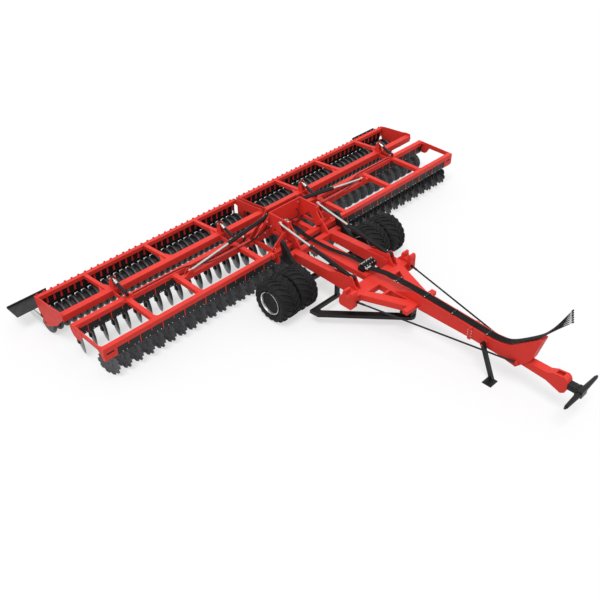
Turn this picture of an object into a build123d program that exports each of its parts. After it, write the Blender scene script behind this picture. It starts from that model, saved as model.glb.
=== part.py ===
"""Trailed folding disc harrow, twelve metres wide, with two rows of discs and a ring packer.

Millimetres, +Z up.  The drawbar points along -Y, so +X is the machine's left.  The part's
origin lies on the ground in the middle of the machine's length and width.  Every station
(a y place) below is measured back from the front face of the disc frame, and the helpers
move it into the part's frame.
"""

from build123d import *
import math
import os

os.makedirs("parts", exist_ok=True)

# ------------------------------------------------------------------ overall layout
half_width = 6000.0       # outer face of a wing's steelwork
hitch_front = 7600.0      # front of the hitch head, ahead of the disc frame
board_rear = 3340.0       # back edge of the edge boards, behind the disc frame's front
frame_front = (hitch_front - board_rear) / 2
sides = (("right", -1), ("left", 1))
slip = 0.05               # radial clearance of a pin in its bore
side_gap = 8.0            # free space beside a part that swings between two plates

# ------------------------------------------------------------------ disc frame beams
beam = 120.0              # square tube of the disc frame
front_beam = (0.0, beam)
front_beam_z = (850.0, 970.0)
rear_beam = (1070.0, 1200.0)
rear_beam_z = (860.0, 980.0)
boom = (800.0, 920.0)     # the wing's middle boom, which takes the fold cylinder
boom_z = (830.0, 950.0)
boom_end = 3380.0
centre_half = 1040.0      # half length of the centre section's beams
nose_x = (centre_half, centre_half + 20.0)
housing_start = 1190.0    # inner end of a wing's torsion housings
rear_beam_start = 1180.0  # inner end of a wing's rear beam, outboard of the hinge
cross_members = (1490.0, 3320.0, 4610.0)
plate = 25.0              # heavy bulkhead plate
cheek = 30.0              # pivot cheek plate
gusset = 110.0            # side of a gusset in a window's corner

# ------------------------------------------------------------------ wing hinges
hinge_x = 1150.0
hinge_z = 905.0
hinge_pin_r = 30.0
hinge_eye_r = 85.0
knuckle_r = 75.0
knuckle_end = 1265.0      # where the wing's tubes get their full width

# ------------------------------------------------------------------ toolbar tilt
tilt_y = 20.0
tilt_z = 1160.0
tilt_pin_r = 30.0
tilt_eye_r = 75.0
riser = (470.0, 512.0)    # chassis riser plate, from and to |x|
tower_top = 1520.0
tower_half = 540.0
tower_shoulder = (720.0, 1300.0)

# ------------------------------------------------------------------ discs and their carriers
disc_pitch = 300.0
disc_r = 305.0
disc_depth = 45.0
disc_steel = 6.0
disc_flat = 0.38          # flat middle of a disc, as a share of its radius
disc_axis_z = 320.0
disc_angle = 17.0
disc_lobes = 10
notch = 0.87              # notch bottom, as a share of the disc's radius
rear_faces = 10
front_row = 246.0
rear_row = 1290.0
centre_rear_row = 1215.0
first_wing_disc = 1290.0
disc_end_gap = 210.0      # last disc to the wing's outer face
first_centre_disc = 150.0
bay_inset = 320.0         # outermost bay bracket, in from the wing's outer face
housing_inset = 40.0      # outer end of the last torsion housing, likewise
wing_disc_count = 1 + int((half_width - disc_end_gap - first_wing_disc) // disc_pitch)
wing_discs = [first_wing_disc + disc_pitch * k for k in range(wing_disc_count)]
centre_discs = [first_centre_disc + disc_pitch * k for k in range(4)]
wing_bays = [half_width - bay_inset - 2 * disc_pitch * k for k in range(40)]
wing_bays = [x for x in wing_bays if x > first_wing_disc + disc_pitch / 2]
centre_bays = [880.0, 280.0]
tab_drop = 80.0           # short bracket midway between two bay brackets
bay_plate = 20.0          # red bracket between two torsion housings
housing_back = 8.0        # a housing's front face, behind its beam's
hub_r = 38.0
hub_length = 34.0
arm_steel = 20.0

# ------------------------------------------------------------------ roller and its frame
roller_y = 2440.0
roller_r = 300.0
drum_r = 245.0
drum_wall = 12.0
ring_width = 84.0
ring_pitch = 180.0
ring_first = 160.0
drum_ends = (90.0, half_width - 36.0)
ring_count = 1 + int((drum_ends[1] - ring_width / 2 - ring_first) // ring_pitch)
ring_faces = 10
roller_shaft_r = 35.0
main_beam = (1530.0, 1690.0)
main_beam_z = (830.0, 990.0)
scraper_beam = (2611.0, 2711.0)
scraper_beam_z = (800.0, 900.0)
arm_gusset = (150.0, 300.0)   # gusset of a roller arm: along the beam, along the arm
roller_arms = (1440.0, 3010.0, 4730.0)
roller_inner = 50.0
end_steel = 16.0
depth_x = (1430.0, 4600.0)
port_x = depth_x[1] - 140.0   # port block at the end of a wing's hose
hose_start = knuckle_end + 65.0   # a wing's hose, clear of the bulkhead when the wing is up
depth_low = (1120.0, 1050.0)
depth_high = (1620.0, 1250.0)
board_x = (half_width - 580.0, half_width + 430.0)
board_y = (2870.0, board_rear)
holder_width = 45.0
holder_reach = 190.0      # holder below the scraper beam, ending above the rings
scraper_width = 104.0
scraper_reach = 330.0     # scraper plate below its beam
scraper_wing = 80.0       # half width of its blade, which covers the rings' edges
scraper_ledge = 542.0     # underside of the blade, just above the rings
scraper_tip = ring_pitch / 2 - ring_width / 2 - 5.0   # half width of the tip between two rings

# ------------------------------------------------------------------ chassis, wheels
chassis_x = (540.0, 730.0)
chassis_rear = -150.0
cross_beam_y = (-2420.0, -2100.0)
cross_beam_z = (650.0, 850.0)
rest_x = (950.0, 1130.0)
rest_y = (-2500.0, -2200.0)
rest_top = 1065.0
spine_half = 200.0
spine_z = (750.0, 900.0)
valve_x = (-150.0, 330.0)
valve_y = (-1960.0, -1800.0)
brace_z = (255.0, 345.0)
axle_y = -902.0
tyre_r = 535.0
tyre_width = 545.0
tyre_inner = 1046.0
tyre_gap = 36.0
rim_r = 294.0
stub_r = 55.0
axle_arm = (905.0, 990.0)
wheel_faces = 28

# ------------------------------------------------------------------ drawbar and hitch
drawbar_half = 125.0
neck_half = 100.0
neck_front = -7264.0
drawbar_rear = -2900.0
drawbar_front = -5700.0
shaft_y = -7530.0
shaft_z = 760.0
shaft_half = 635.0
link_pin_r = 25.4
link_pin = 52.0
stand_y = -5350.0
stand_z = 800.0
stand_x = (-240.0, -160.0)
foot_x = (stand_x[0] - 180.0, stand_x[1] + 8.0)
flange_half = 150.0
foot_y = (-5825.0, -5595.0)
foot_steel = 12.0
hose_r = 11.0
stay_r = 12.0             # stay rods beside the drawbar
hose_places = (-85.0, -55.0, -25.0, 5.0, 35.0, 65.0)

# ------------------------------------------------------------------ hydraulic cylinders
tilt_foot = (-2078.0, 1076.0)
tilt_head = (288.0, 1477.0)
tilt_x = 655.0
fold_foot = (470.0, 1400.0)
fold_head = (3013.0, 1009.0)
fold_y = (boom[0] + boom[1]) / 2
fold_barrel = 1375.0      # length of the fold cylinder's barrel from its foot pin
tilt_barrel = 1350.0


# ------------------------------------------------------------------ helpers
def place(station):
    """The y place, in the part's frame, of a station behind the disc frame's front."""
    return frame_front + station


def block(x, y, z, mode=Mode.ADD):
    """A box between two corners, given as its x, y and z spans."""
    (x0, x1), (y0, y1), (z0, z1) = sorted(x), sorted(y), sorted(z)
    with Locations(((x0 + x1) / 2, place((y0 + y1) / 2), (z0 + z1) / 2)):
        Box(x1 - x0, y1 - y0, z1 - z0, mode=mode)


def plate_x(x, outline, mode=Mode.ADD):
    """A plate square to X: an outline of (station, height) corners."""
    low, high = sorted(x)
    with BuildSketch(Plane.YZ.offset(low)) as profile:
        with BuildLine():
            Polyline([(place(y), z) for y, z in outline], close=True)
        make_face()
    extrude(profile.sketch, amount=high - low, mode=mode)


def plate_y(y, outline, mode=Mode.ADD):
    """A plate square to Y: an outline of (x, height) corners."""
    low, high = sorted(y)
    with BuildSketch(Plane.XZ.offset(-place(high))) as profile:
        with BuildLine():
            Polyline(outline, close=True)
        make_face()
    extrude(profile.sketch, amount=high - low, mode=mode)


def plate_z(z, outline, mode=Mode.ADD):
    """A level plate: an outline of (x, station) corners."""
    low, high = sorted(z)
    with BuildSketch(Plane.XY.offset(low)) as profile:
        with BuildLine():
            Polyline([(x, place(y)) for x, y in outline], close=True)
        make_face()
    extrude(profile.sketch, amount=high - low, mode=mode)


def round_x(x, y, z, radius, mode=Mode.ADD, faces=0):
    """A round bar, boss or bore along X, or one with flat faces."""
    low, high = sorted(x)
    with BuildSketch(Plane.YZ.offset(low)) as profile:
        with Locations((place(y), z)):
            if faces:
                RegularPolygon(radius, faces, rotation=180.0 / faces - 90.0)
            else:
                Circle(radius)
    extrude(profile.sketch, amount=high - low, mode=mode)


def round_y(y, x, z, radius, mode=Mode.ADD, faces=0):
    """A round bar, boss or bore along Y, or one with flat faces."""
    low, high = sorted(y)
    with BuildSketch(Plane.XZ.offset(-place(high))) as profile:
        with Locations((x, z)):
            if faces:
                RegularPolygon(radius, faces)
            else:
                Circle(radius)
    extrude(profile.sketch, amount=high - low, mode=mode)


def along(start, end, near, far):
    """The two points near and far along the line from start to end."""
    a, b = (Vector(x, place(y), z) for x, y, z in (start, end))
    unit = (b - a).normalized()
    return a + unit * near, a + unit * far


def rod(start, end, near, far, radius, mode=Mode.ADD, faces=0):
    """A round bar or bore on the line from start to end, between two distances."""
    a, b = along(start, end, near, far)
    with BuildSketch(Plane(origin=a, z_dir=b - a)) as profile:
        if faces:
            RegularPolygon(radius, faces)
        else:
            Circle(radius)
    extrude(profile.sketch, amount=(b - a).length, mode=mode)


def distance(start, end):
    """The length from one pin to another, in two or three dimensions."""
    return math.dist(start, end)


def finish(builder, name):
    """Label a finished piece and write it."""
    builder.part.label = name
    export_step(builder.part, f"parts/{name}.step")
    print(name, len(builder.part.solids()), round(builder.part.volume / 1e9, 4))


# ------------------------------------------------------------------ chassis
with BuildPart() as chassis_beams:
    for sign in (-1, 1):
        x = [sign * v for v in chassis_x]
        plate_x(x, [(-2100, 655), (chassis_rear, 700), (chassis_rear, 910), (-1730, 985), (-2100, 985)])
        # cheeks that flank the tilt cylinder and carry its foot pin
        for inner in (582.0, 710.0):
            cheek_x = [sign * inner, sign * (inner + 18.0)]
            plate_x(cheek_x, [(-2100, 850), (-2290, 850), (-2148, 1076), (-2078, 1100), (-1730, 1090),
                              (-1400, 960), (-1400, 900), (-2100, 900)])
            round_x(cheek_x, *tilt_foot, 70.0)
        round_x([sign * 570.0, sign * 740.0], *tilt_foot, 25.0)
        for head in (567.0, 728.0):
            round_x([sign * head, sign * (head + 15.0)], *tilt_foot, 38.0, faces=6)
        # riser to the tilt pivot
        x = [sign * v for v in riser]
        plate_x(x, [(-300, 740), (-100, 720), (-25, 800), (-25, 1100), (tilt_y, tilt_z), (-55, tilt_z), (-300, 910)])
        round_x(x, tilt_y, tilt_z, tilt_eye_r)
        round_x(x, tilt_y, tilt_z, tilt_pin_r + slip, mode=Mode.SUBTRACT)
    block((-axle_arm[0], axle_arm[0]), (-300, -150), (740, 910))
    # spine between the beams, which carries the valves and the hoses
    block((-spine_half, spine_half), (cross_beam_y[1], -300), spine_z)
finish(chassis_beams, "chassis_beams")

with BuildPart() as cross_beam:
    block((-1000, 1000), cross_beam_y, cross_beam_z)
    for sign in (-1, 1):
        x = [sign * v for v in rest_x]
        front, rear = rest_y
        plate_x(x, [(front, 660), (-2460, 615), (-2150, 615), (cross_beam_y[1], 660), (cross_beam_y[1], 840),
                    (rear, 900), (rear, 1000), (rear - 25, rest_top), (rear - 80, rest_top), (rear - 95, 950),
                    (rear - 125, 930), (rear - 175, 930), (rear - 205, 950), (front + 80, rest_top),
                    (front + 25, rest_top), (front, 1000)])
finish(cross_beam, "cross_beam")

with BuildPart() as a_frame:
    a_frame_z = (690.0, 850.0)
    front, rear = -3450.0, cross_beam_y[0]
    plate_z(a_frame_z, [(-780, rear), (780, rear), (360, front), (-360, front)])
    for sign in (-1, 1):
        plate_z(a_frame_z, [(sign * 170, rear - 60), (sign * 560, rear - 60), (sign * 405, -2750), (sign * 170, -2750)],
                mode=Mode.SUBTRACT)
        plate_z(a_frame_z, [(sign * 170, -2810), (sign * 385, -2810), (sign * 195, -3270), (sign * 170, -3270)],
                mode=Mode.SUBTRACT)
    block((-530, 530), (-3580, front), (745, 850))
finish(a_frame, "a_frame")

with BuildPart() as drawbar:
    plate_x((-drawbar_half, drawbar_half),
            [(drawbar_rear, 850), (-3400, 1090), (-5500, 970), (drawbar_front, 990), (drawbar_front, 668),
             (-4920, 700), (-3580, 700), (-3580, 850)])
    block((-flange_half, flange_half), (-5000, -4920), (670, 995))
    # stand bracket: pad on the side wall, pin and outer head
    pad = stand_x[1] + side_gap
    block((pad, -drawbar_half), (stand_y - 70, stand_y + 70), (stand_z - 60, stand_z + 60))
    round_x((stand_x[0] - 25, pad), stand_y, stand_z, 15.0)
    round_x((stand_x[0] - 25, stand_x[0] - 12), stand_y, stand_z, 26.0, faces=6)
finish(drawbar, "drawbar")

tower_foot = (-6420, 940)
tower_heel = (-6120, 600)
with BuildPart() as hose_tower:
    plate_x((-drawbar_half, drawbar_half),
            [(drawbar_front, 990), (-5910, 1040), (-6500, 1545), (-6560, 1530), tower_foot, tower_heel,
             (drawbar_front, 668)])
    for sign in (-1, 1):
        block((sign * drawbar_half, sign * 175), (-6180, -6120), (700, 780))
finish(hose_tower, "hose_tower")

def on_tower_edge(z):
    """The station of the hose tower's sloping front edge at a height."""
    share = (z - tower_heel[1]) / (tower_foot[1] - tower_heel[1])
    return tower_heel[0] + share * (tower_foot[0] - tower_heel[0])


with BuildPart() as hitch_neck:
    # the back edge lies on the hose tower's front edge
    plate_x((-neck_half, neck_half),
            [(on_tower_edge(870), 870), (-6800, 870), (-6950, 940), (-7175, 968), (-7230, 930), (neck_front, 860),
             (neck_front, 690), (-7240, 600), (-7154, 543), (-6810, 667), (on_tower_edge(716), 716)])
    block((-60, 60), (-7130, -6970), (880, 990), mode=Mode.SUBTRACT)
finish(hitch_neck, "hitch_neck")

with BuildPart() as hitch_shaft:
    block((-75, 75), (-7470, neck_front), (700, 850))
    block((-110, 110), (-hitch_front, -7440), (shaft_z - 75, shaft_z + 75))
    round_x((-shaft_half, shaft_half), shaft_y, shaft_z, link_pin_r)
    shoulder = shaft_half - link_pin
    for sign in (-1, 1):
        with Locations((sign * (110 + shoulder) / 2, place(shaft_y), shaft_z)):
            Cone(62, 40, shoulder - 110, rotation=(0, sign * 90, 0))
finish(hitch_shaft, "hitch_shaft")

with BuildPart() as axle:
    block((-axle_arm[0], axle_arm[0]), (axle_y - 55, axle_y + 55), (tyre_r - 55, tyre_r + 55))
    for sign in (-1, 1):
        x = [sign * v for v in axle_arm]
        plate_x(x, [(-70, 1290), (-160, 1270), (-400, 950), (-980, 600), (-960, 470), (-830, 450), (-330, 740),
                    (-150, 740), (-140, 900), (-50, 1220)])
        round_x([sign * axle_arm[1], sign * (tyre_inner + 2 * tyre_width + tyre_gap - 60)], axle_y, tyre_r, stub_r)
finish(axle, "axle")

with BuildPart() as stay_rods:
    for sign in (-1, 1):
        block((sign * 952, sign * 990), (rest_y[0] - 60, rest_y[0]), (768, 822))
        rod((sign * 971, rest_y[0] - 60, 795), (sign * 150, -6120, 740), 0, 3651, stay_r, faces=8)
finish(stay_rods, "stay_rods")

# the two bars that run from the drawbar's foot out to the axle's cross bar
with BuildPart() as axle_braces:
    for sign in (-1, 1):
        plate_z(brace_z, [(0, -3430), (sign * 90, -3400), (sign * 1500, -1800), (sign * 1520, -1560),
                          (sign * 560, -1560), (sign * 560, -1640), (sign * 1330, -1640), (sign * 1330, -1760),
                          (0, -3260)])
        block((sign * 585, sign * 685), (-1640, -1560), (brace_z[1], 665))
    block((-90, 90), (-3400, -3180), (brace_z[1], 690))
    block((-250, 250), (-3230, -3180), (430, 690))
finish(axle_braces, "axle_braces")

with BuildPart() as valve_block:
    block(valve_x, valve_y, (spine_z[1], spine_z[1] + 108))
    for k in range(5):
        x = valve_x[0] + 39 + k * 85
        block((x, x + 62), (valve_y[0] + 20, valve_y[1] - 20), (spine_z[1] + 108, spine_z[1] + 150))
finish(valve_block, "valve_block")


def hose(points, radii, radius):
    """A hose with a six-sided section along straight runs and arcs."""
    with BuildLine() as route:
        FilletPolyline([(x, place(y), z) for x, y, z in points], radius=radii)
    with BuildSketch(Plane(origin=route.line @ 0, z_dir=route.line % 0)) as section:
        RegularPolygon(radius, 6)
    sweep(section.sketch, path=route.line)


with BuildPart() as supply_hoses:
    for x in hose_places:
        hose([(x, valve_y[0] - 2.4, 990), (x, -2500, 1105), (x, -3385, 1118), (x, -5540, 984), (x, -5890, 1062),
              (x, -6500, 1582), (x, -6680, 1860), (x, -7050, 2440 + 0.6 * x)],
             [900, 900, 200, 200, 200, 250], hose_r)
finish(supply_hoses, "supply_hoses")

# hoses that come forward from the tower to the valves
with BuildPart() as chassis_hoses:
    for x in (-45.0, -15.0, 15.0, 45.0):
        hose([(x - 70, -420, 985), (x - 30, -800, 960), (x + 60, -1400, 985), (x + 60, valve_y[1] + 0.3, 990)],
             [600, 600], hose_r)
finish(chassis_hoses, "chassis_hoses")

with BuildPart() as parking_stand:
    plate_x(stand_x, [(stand_y - 44, stand_z), (stand_y + 44, stand_z), (-5656, foot_steel), (-5744, foot_steel)])
    round_x(stand_x, stand_y, stand_z, 50.0)
    block(foot_x, foot_y, (0, foot_steel))
    round_x(stand_x, stand_y, stand_z, 15.0 + slip, mode=Mode.SUBTRACT)
finish(parking_stand, "parking_stand")

# ------------------------------------------------------------------ wheels
def faceted_ring(profile, start, sign):
    """A wheel part about the axle: a closed profile of (distance out, radius) swept round in flat faces."""
    def corner(reach, radius, k):
        angle = 2 * math.pi * (k + 0.5) / wheel_faces
        radius = radius / math.cos(math.pi / wheel_faces)
        return Vector(sign * (start + reach), place(axle_y) + radius * math.sin(angle),
                      tyre_r - radius * math.cos(angle))

    faces = []
    for k in range(wheel_faces):
        for p, q in zip(profile, profile[1:] + profile[:1]):
            corners = [corner(*p, k), corner(*p, k + 1), corner(*q, k + 1), corner(*q, k)]
            faces.append(Face(Wire.make_polygon(corners, close=True)))
    return Solid(Shell(faces))


shoulder_r = 0.88 * tyre_r
tread_inset = 0.14 * tyre_width
tyre_profile = [(0, rim_r), (0, shoulder_r), (tread_inset, tyre_r), (tyre_width - tread_inset, tyre_r),
                (tyre_width, shoulder_r), (tyre_width, rim_r)]
well_r = rim_r - 14.0
hub_half = 105.0
outer_start = tyre_inner + tyre_width + tyre_gap
for side, sign in sides:
    for place_name, start in (("inner", tyre_inner), ("outer", outer_start)):
        with BuildPart() as tyre:
            add(faceted_ring(tyre_profile, start, sign))
        finish(tyre, f"{side}_{place_name}_tyre")
    with BuildPart() as rims:
        for start, web in ((tyre_inner, 0.62 * tyre_width), (outer_start, 0.7 * tyre_width)):
            # barrel with a dished web
            add(faceted_ring([(0, well_r), (0, rim_r), (tyre_width, rim_r), (tyre_width, well_r), (web, well_r),
                              (web - 60, hub_half), (web - 76, hub_half), (web - 16, well_r)], start, sign))
        span = [sign * (tyre_inner + 40), sign * (outer_start + tyre_width - 40)]
        round_x(span, axle_y, tyre_r, hub_half + 6, faces=12)
        round_x([span[0] - sign, span[1] - sign * 18], axle_y, tyre_r, stub_r + slip, mode=Mode.SUBTRACT)
    finish(rims, f"{side}_rims")


# ------------------------------------------------------------------ discs
def lobed_outline(radius):
    """Corners of a notched disc's rim: two on each lobe and one in each notch."""
    corners = []
    for k in range(disc_lobes):
        for turn, share in ((0.0, notch), (0.5, 1.0)):
            angle = 2 * math.pi * (k + turn) / disc_lobes
            corners.append((radius * share * math.cos(angle), radius * share * math.sin(angle)))
    return corners


def dish(outline):
    """A dished disc about Z whose hollow faces +Z: a pressed cone, flat in the middle and ground to an edge."""
    rings = [[(share * x, share * y, z) for x, y in outline]
             for share, z in ((1, 0), (disc_flat, -disc_depth), (disc_flat, disc_steel - disc_depth))]
    corners = [rings[1], rings[2]]
    for ring, following in ((rings[0], rings[1]), (rings[2], rings[0])):
        for k in range(len(outline)):
            j = (k + 1) % len(outline)
            corners.append([ring[k], ring[j], following[j], following[k]])
    faces = [Face(Wire.make_polygon([Vector(*c) for c in points], close=True)) for points in corners]
    add(Solid(Shell(faces)))


with BuildPart() as notched_disc:
    dish(lobed_outline(disc_r))
with BuildPart() as smooth_disc:
    dish([(disc_r * math.cos(2 * math.pi * k / rear_faces), disc_r * math.sin(2 * math.pi * k / rear_faces))
          for k in range(rear_faces)])


def disc_plane(x, station, side, row):
    """The disc's own plane: its hollow faces forwards, outwards in the front row, inwards behind."""
    angle = math.radians(disc_angle)
    out = side if row == "front" else -side
    face = Vector(out * math.cos(angle), -math.sin(angle), 0)
    return Plane(origin=(x, place(station), disc_axis_z), x_dir=(0, 0, 1), z_dir=face)


def disc_row(disc, xs, station, row):
    """One disc at each place of a row."""
    add([disc_plane(x, station, math.copysign(1, x), row).location * disc.part for x in xs])


def arm_with_hub(side, row, beam_y, beam_z, station):
    """The arm and hub of a disc at x = 0: the arm drops from its housing beside the disc."""
    y0 = beam_y[0]
    away = -side if row == "front" else side
    plane = disc_plane(0, station, side, row)
    hub_y = station + 20
    with BuildPart() as arm:
        with BuildSketch(Plane(origin=plane.origin - plane.z_dir * disc_depth, z_dir=plane.z_dir * -1)) as hub:
            RegularPolygon(hub_r, 6)
        extrude(hub.sketch, amount=hub_length)
        plate_x([away * 62, away * (62 + arm_steel)],
                [(y0 + 30, beam_z - 150), (y0 + 110, beam_z - 150), (hub_y + 5, beam_z - 250), (hub_y + 45, 430),
                 (hub_y + 35, 285), (hub_y - 25, 285), (hub_y - 15, 430), (y0 + 130, beam_z - 290),
                 (y0 + 30, beam_z - 205)])
    return arm.part


def carriers(xs, bays, outer, inner, beam_y, beam_z, arms):
    """Torsion housings between the bay brackets, and an arm with its hub for each disc."""
    y0 = beam_y[0]
    low_end, high_end = sorted((outer, inner))
    edges = [low_end, high_end] + [s * b for b in bays for s in (-1, 1) if low_end < s * b < high_end]
    edges.sort()
    for low, high in zip(edges, edges[1:]):
        plate_x([low + bay_plate / 2 + 1, high - bay_plate / 2 - 1],
                [(y0 + housing_back, beam_z), (y0 + 112, beam_z), (y0 + 112, beam_z - 110), (y0 + 60, beam_z - 190),
                 (y0 + housing_back, beam_z - 215)])
    add([Pos(x, 0, 0) * arms[math.copysign(1, x)] for x in xs])


front_arms = {s: arm_with_hub(s, "front", front_beam, front_beam_z[0], front_row) for s in (-1, 1)}
rear_arms = {s: arm_with_hub(s, "rear", rear_beam, rear_beam_z[0], rear_row) for s in (-1, 1)}
centre_rear_arms = {s: arm_with_hub(s, "rear", rear_beam, rear_beam_z[0], centre_rear_row) for s in (-1, 1)}

# ------------------------------------------------------------------ centre section
with BuildPart() as centre_frame:
    block((-centre_half, centre_half), front_beam, front_beam_z)
    block((-centre_half, centre_half), rear_beam, rear_beam_z)
    for sign in (-1, 1):
        block((sign * 250, sign * 370), (front_beam[1], rear_beam[0]), (850, 970))
        # cheek between the hinges, whose nose wraps the front beam
        plate_x([sign * v for v in nose_x],
                [(775, 850), (775, 935), (680, 975), (480, 1015), (240, 1012), (70, 978), (-50, 910), (-100, 820),
                 (-108, 740), (-70, 672), (0, 645), (70, 660), (120, 720), (145, 850)])
    bulkheads = ((front_beam[1], True), (boom[0] - plate, False), (boom[1], False))
    for y, shoulder in bulkheads:
        half = [(1100, 850), (hinge_x, hinge_z), (1060, 1010)]
        half += [tower_shoulder, (560, 1300), (tower_half, tower_top)] if shoulder else [(560, 1430), (tower_half, tower_top)]
        outline = half + [(-x, z) for x, z in reversed(half)]
        plate_y((y, y + plate), outline)
        for sign in (-1, 1):
            round_y((y, y + plate), sign * hinge_x, hinge_z, hinge_eye_r, faces=16)
            plate_y((y, y + plate), [(sign * 590, 1060), (sign * 880, 1060), (sign * 620, 1230)], mode=Mode.SUBTRACT)
        if shoulder:
            # the tower is open to the front between its side walls
            plate_y((y, y + plate), [(-430, 972), (430, 972), (430, 1600), (-430, 1600)], mode=Mode.SUBTRACT)
    for sign in (-1, 1):
        # front hinge plate, ahead of the beam
        plate_y((-plate, 0), [(sign * 640, 850), (sign * hinge_x, 825), (sign * hinge_x, 990), (sign * 640, 990)])
        round_y((-plate, 0), sign * hinge_x, hinge_z, hinge_eye_r, faces=16)
        # hinge pins with their heads
        for y0, y1 in ((-plate, front_beam[1] + plate), (boom[0] - plate, boom[1] + plate)):
            round_y((y0 - 20, y1 + 20), sign * hinge_x, hinge_z, hinge_pin_r)
            for head in (y0 - 20, y1):
                round_y((head, head + 20), sign * hinge_x, hinge_z, 45.0, faces=6)
        # pivot cheeks either side of the chassis riser, and the tilt pin
        for inner in (432.0, 520.0):
            x = [sign * inner, sign * (inner + cheek)]
            plate_x(x, [(120, 1000), (tilt_y - 60, 1110), (tilt_y - 60, 1220), (120, 1420)])
            round_x(x, tilt_y, tilt_z, 80.0, faces=16)
        round_x([sign * 420, sign * 566], tilt_y, tilt_z, tilt_pin_r)
        for head in (420.0, 550.0):
            round_x([sign * head, sign * (head + 16)], tilt_y, tilt_z, 46.0, faces=6)
        # side walls of the tower and the shelf that carries the tilt cylinder's lugs
        x = [sign * 510, sign * tower_half]
        plate_x(x, [(145, 970), (775, 970), (775, tower_top), (145, tower_top)])
        plate_x(x, [(260, 1060), (660, 1060), (460, 1250)], mode=Mode.SUBTRACT)
        block((sign * tower_half, sign * 712), (145, 370), (1272, 1292))
        for inner in (600.0, 692.0):
            x = [sign * inner, sign * (inner + 18)]
            plate_x(x, [(150, 1280), (370, 1280), (340, 1477), (300, 1527), (262, 1527), (236, 1460), (170, 1330)])
        for head in (590.0, 710.0):
            round_x([sign * head, sign * (head + 12)], *tilt_head, 32.0, faces=6)
        # fold cylinder's foot pin
        round_y((boom[0] - plate, boom[1] + plate), sign * fold_foot[0], fold_foot[1], 25.0)
finish(centre_frame, "centre_frame")

centre_xs = [s * x for s in (-1, 1) for x in centre_discs]
with BuildPart() as centre_front_discs:
    disc_row(notched_disc, centre_xs, front_row, "front")
finish(centre_front_discs, "centre_front_discs")
with BuildPart() as centre_rear_discs:
    disc_row(smooth_disc, centre_xs, centre_rear_row, "rear")
finish(centre_rear_discs, "centre_rear_discs")
with BuildPart() as centre_carriers:
    carriers(centre_xs, centre_bays, nose_x[0], -nose_x[0], front_beam, front_beam_z[0], front_arms)
    carriers(centre_xs, centre_bays, 1130, -1130, rear_beam, rear_beam_z[0], centre_rear_arms)
finish(centre_carriers, "centre_carriers")

# ------------------------------------------------------------------ wings
with BuildPart() as ring:
    round_x((-ring_width / 2, ring_width / 2), roller_y, roller_r, roller_r / math.cos(math.pi / ring_faces),
            faces=ring_faces)
    round_x((-ring_width / 2, ring_width / 2), roller_y, roller_r, drum_r - 1, mode=Mode.SUBTRACT, faces=ring_faces)

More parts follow.
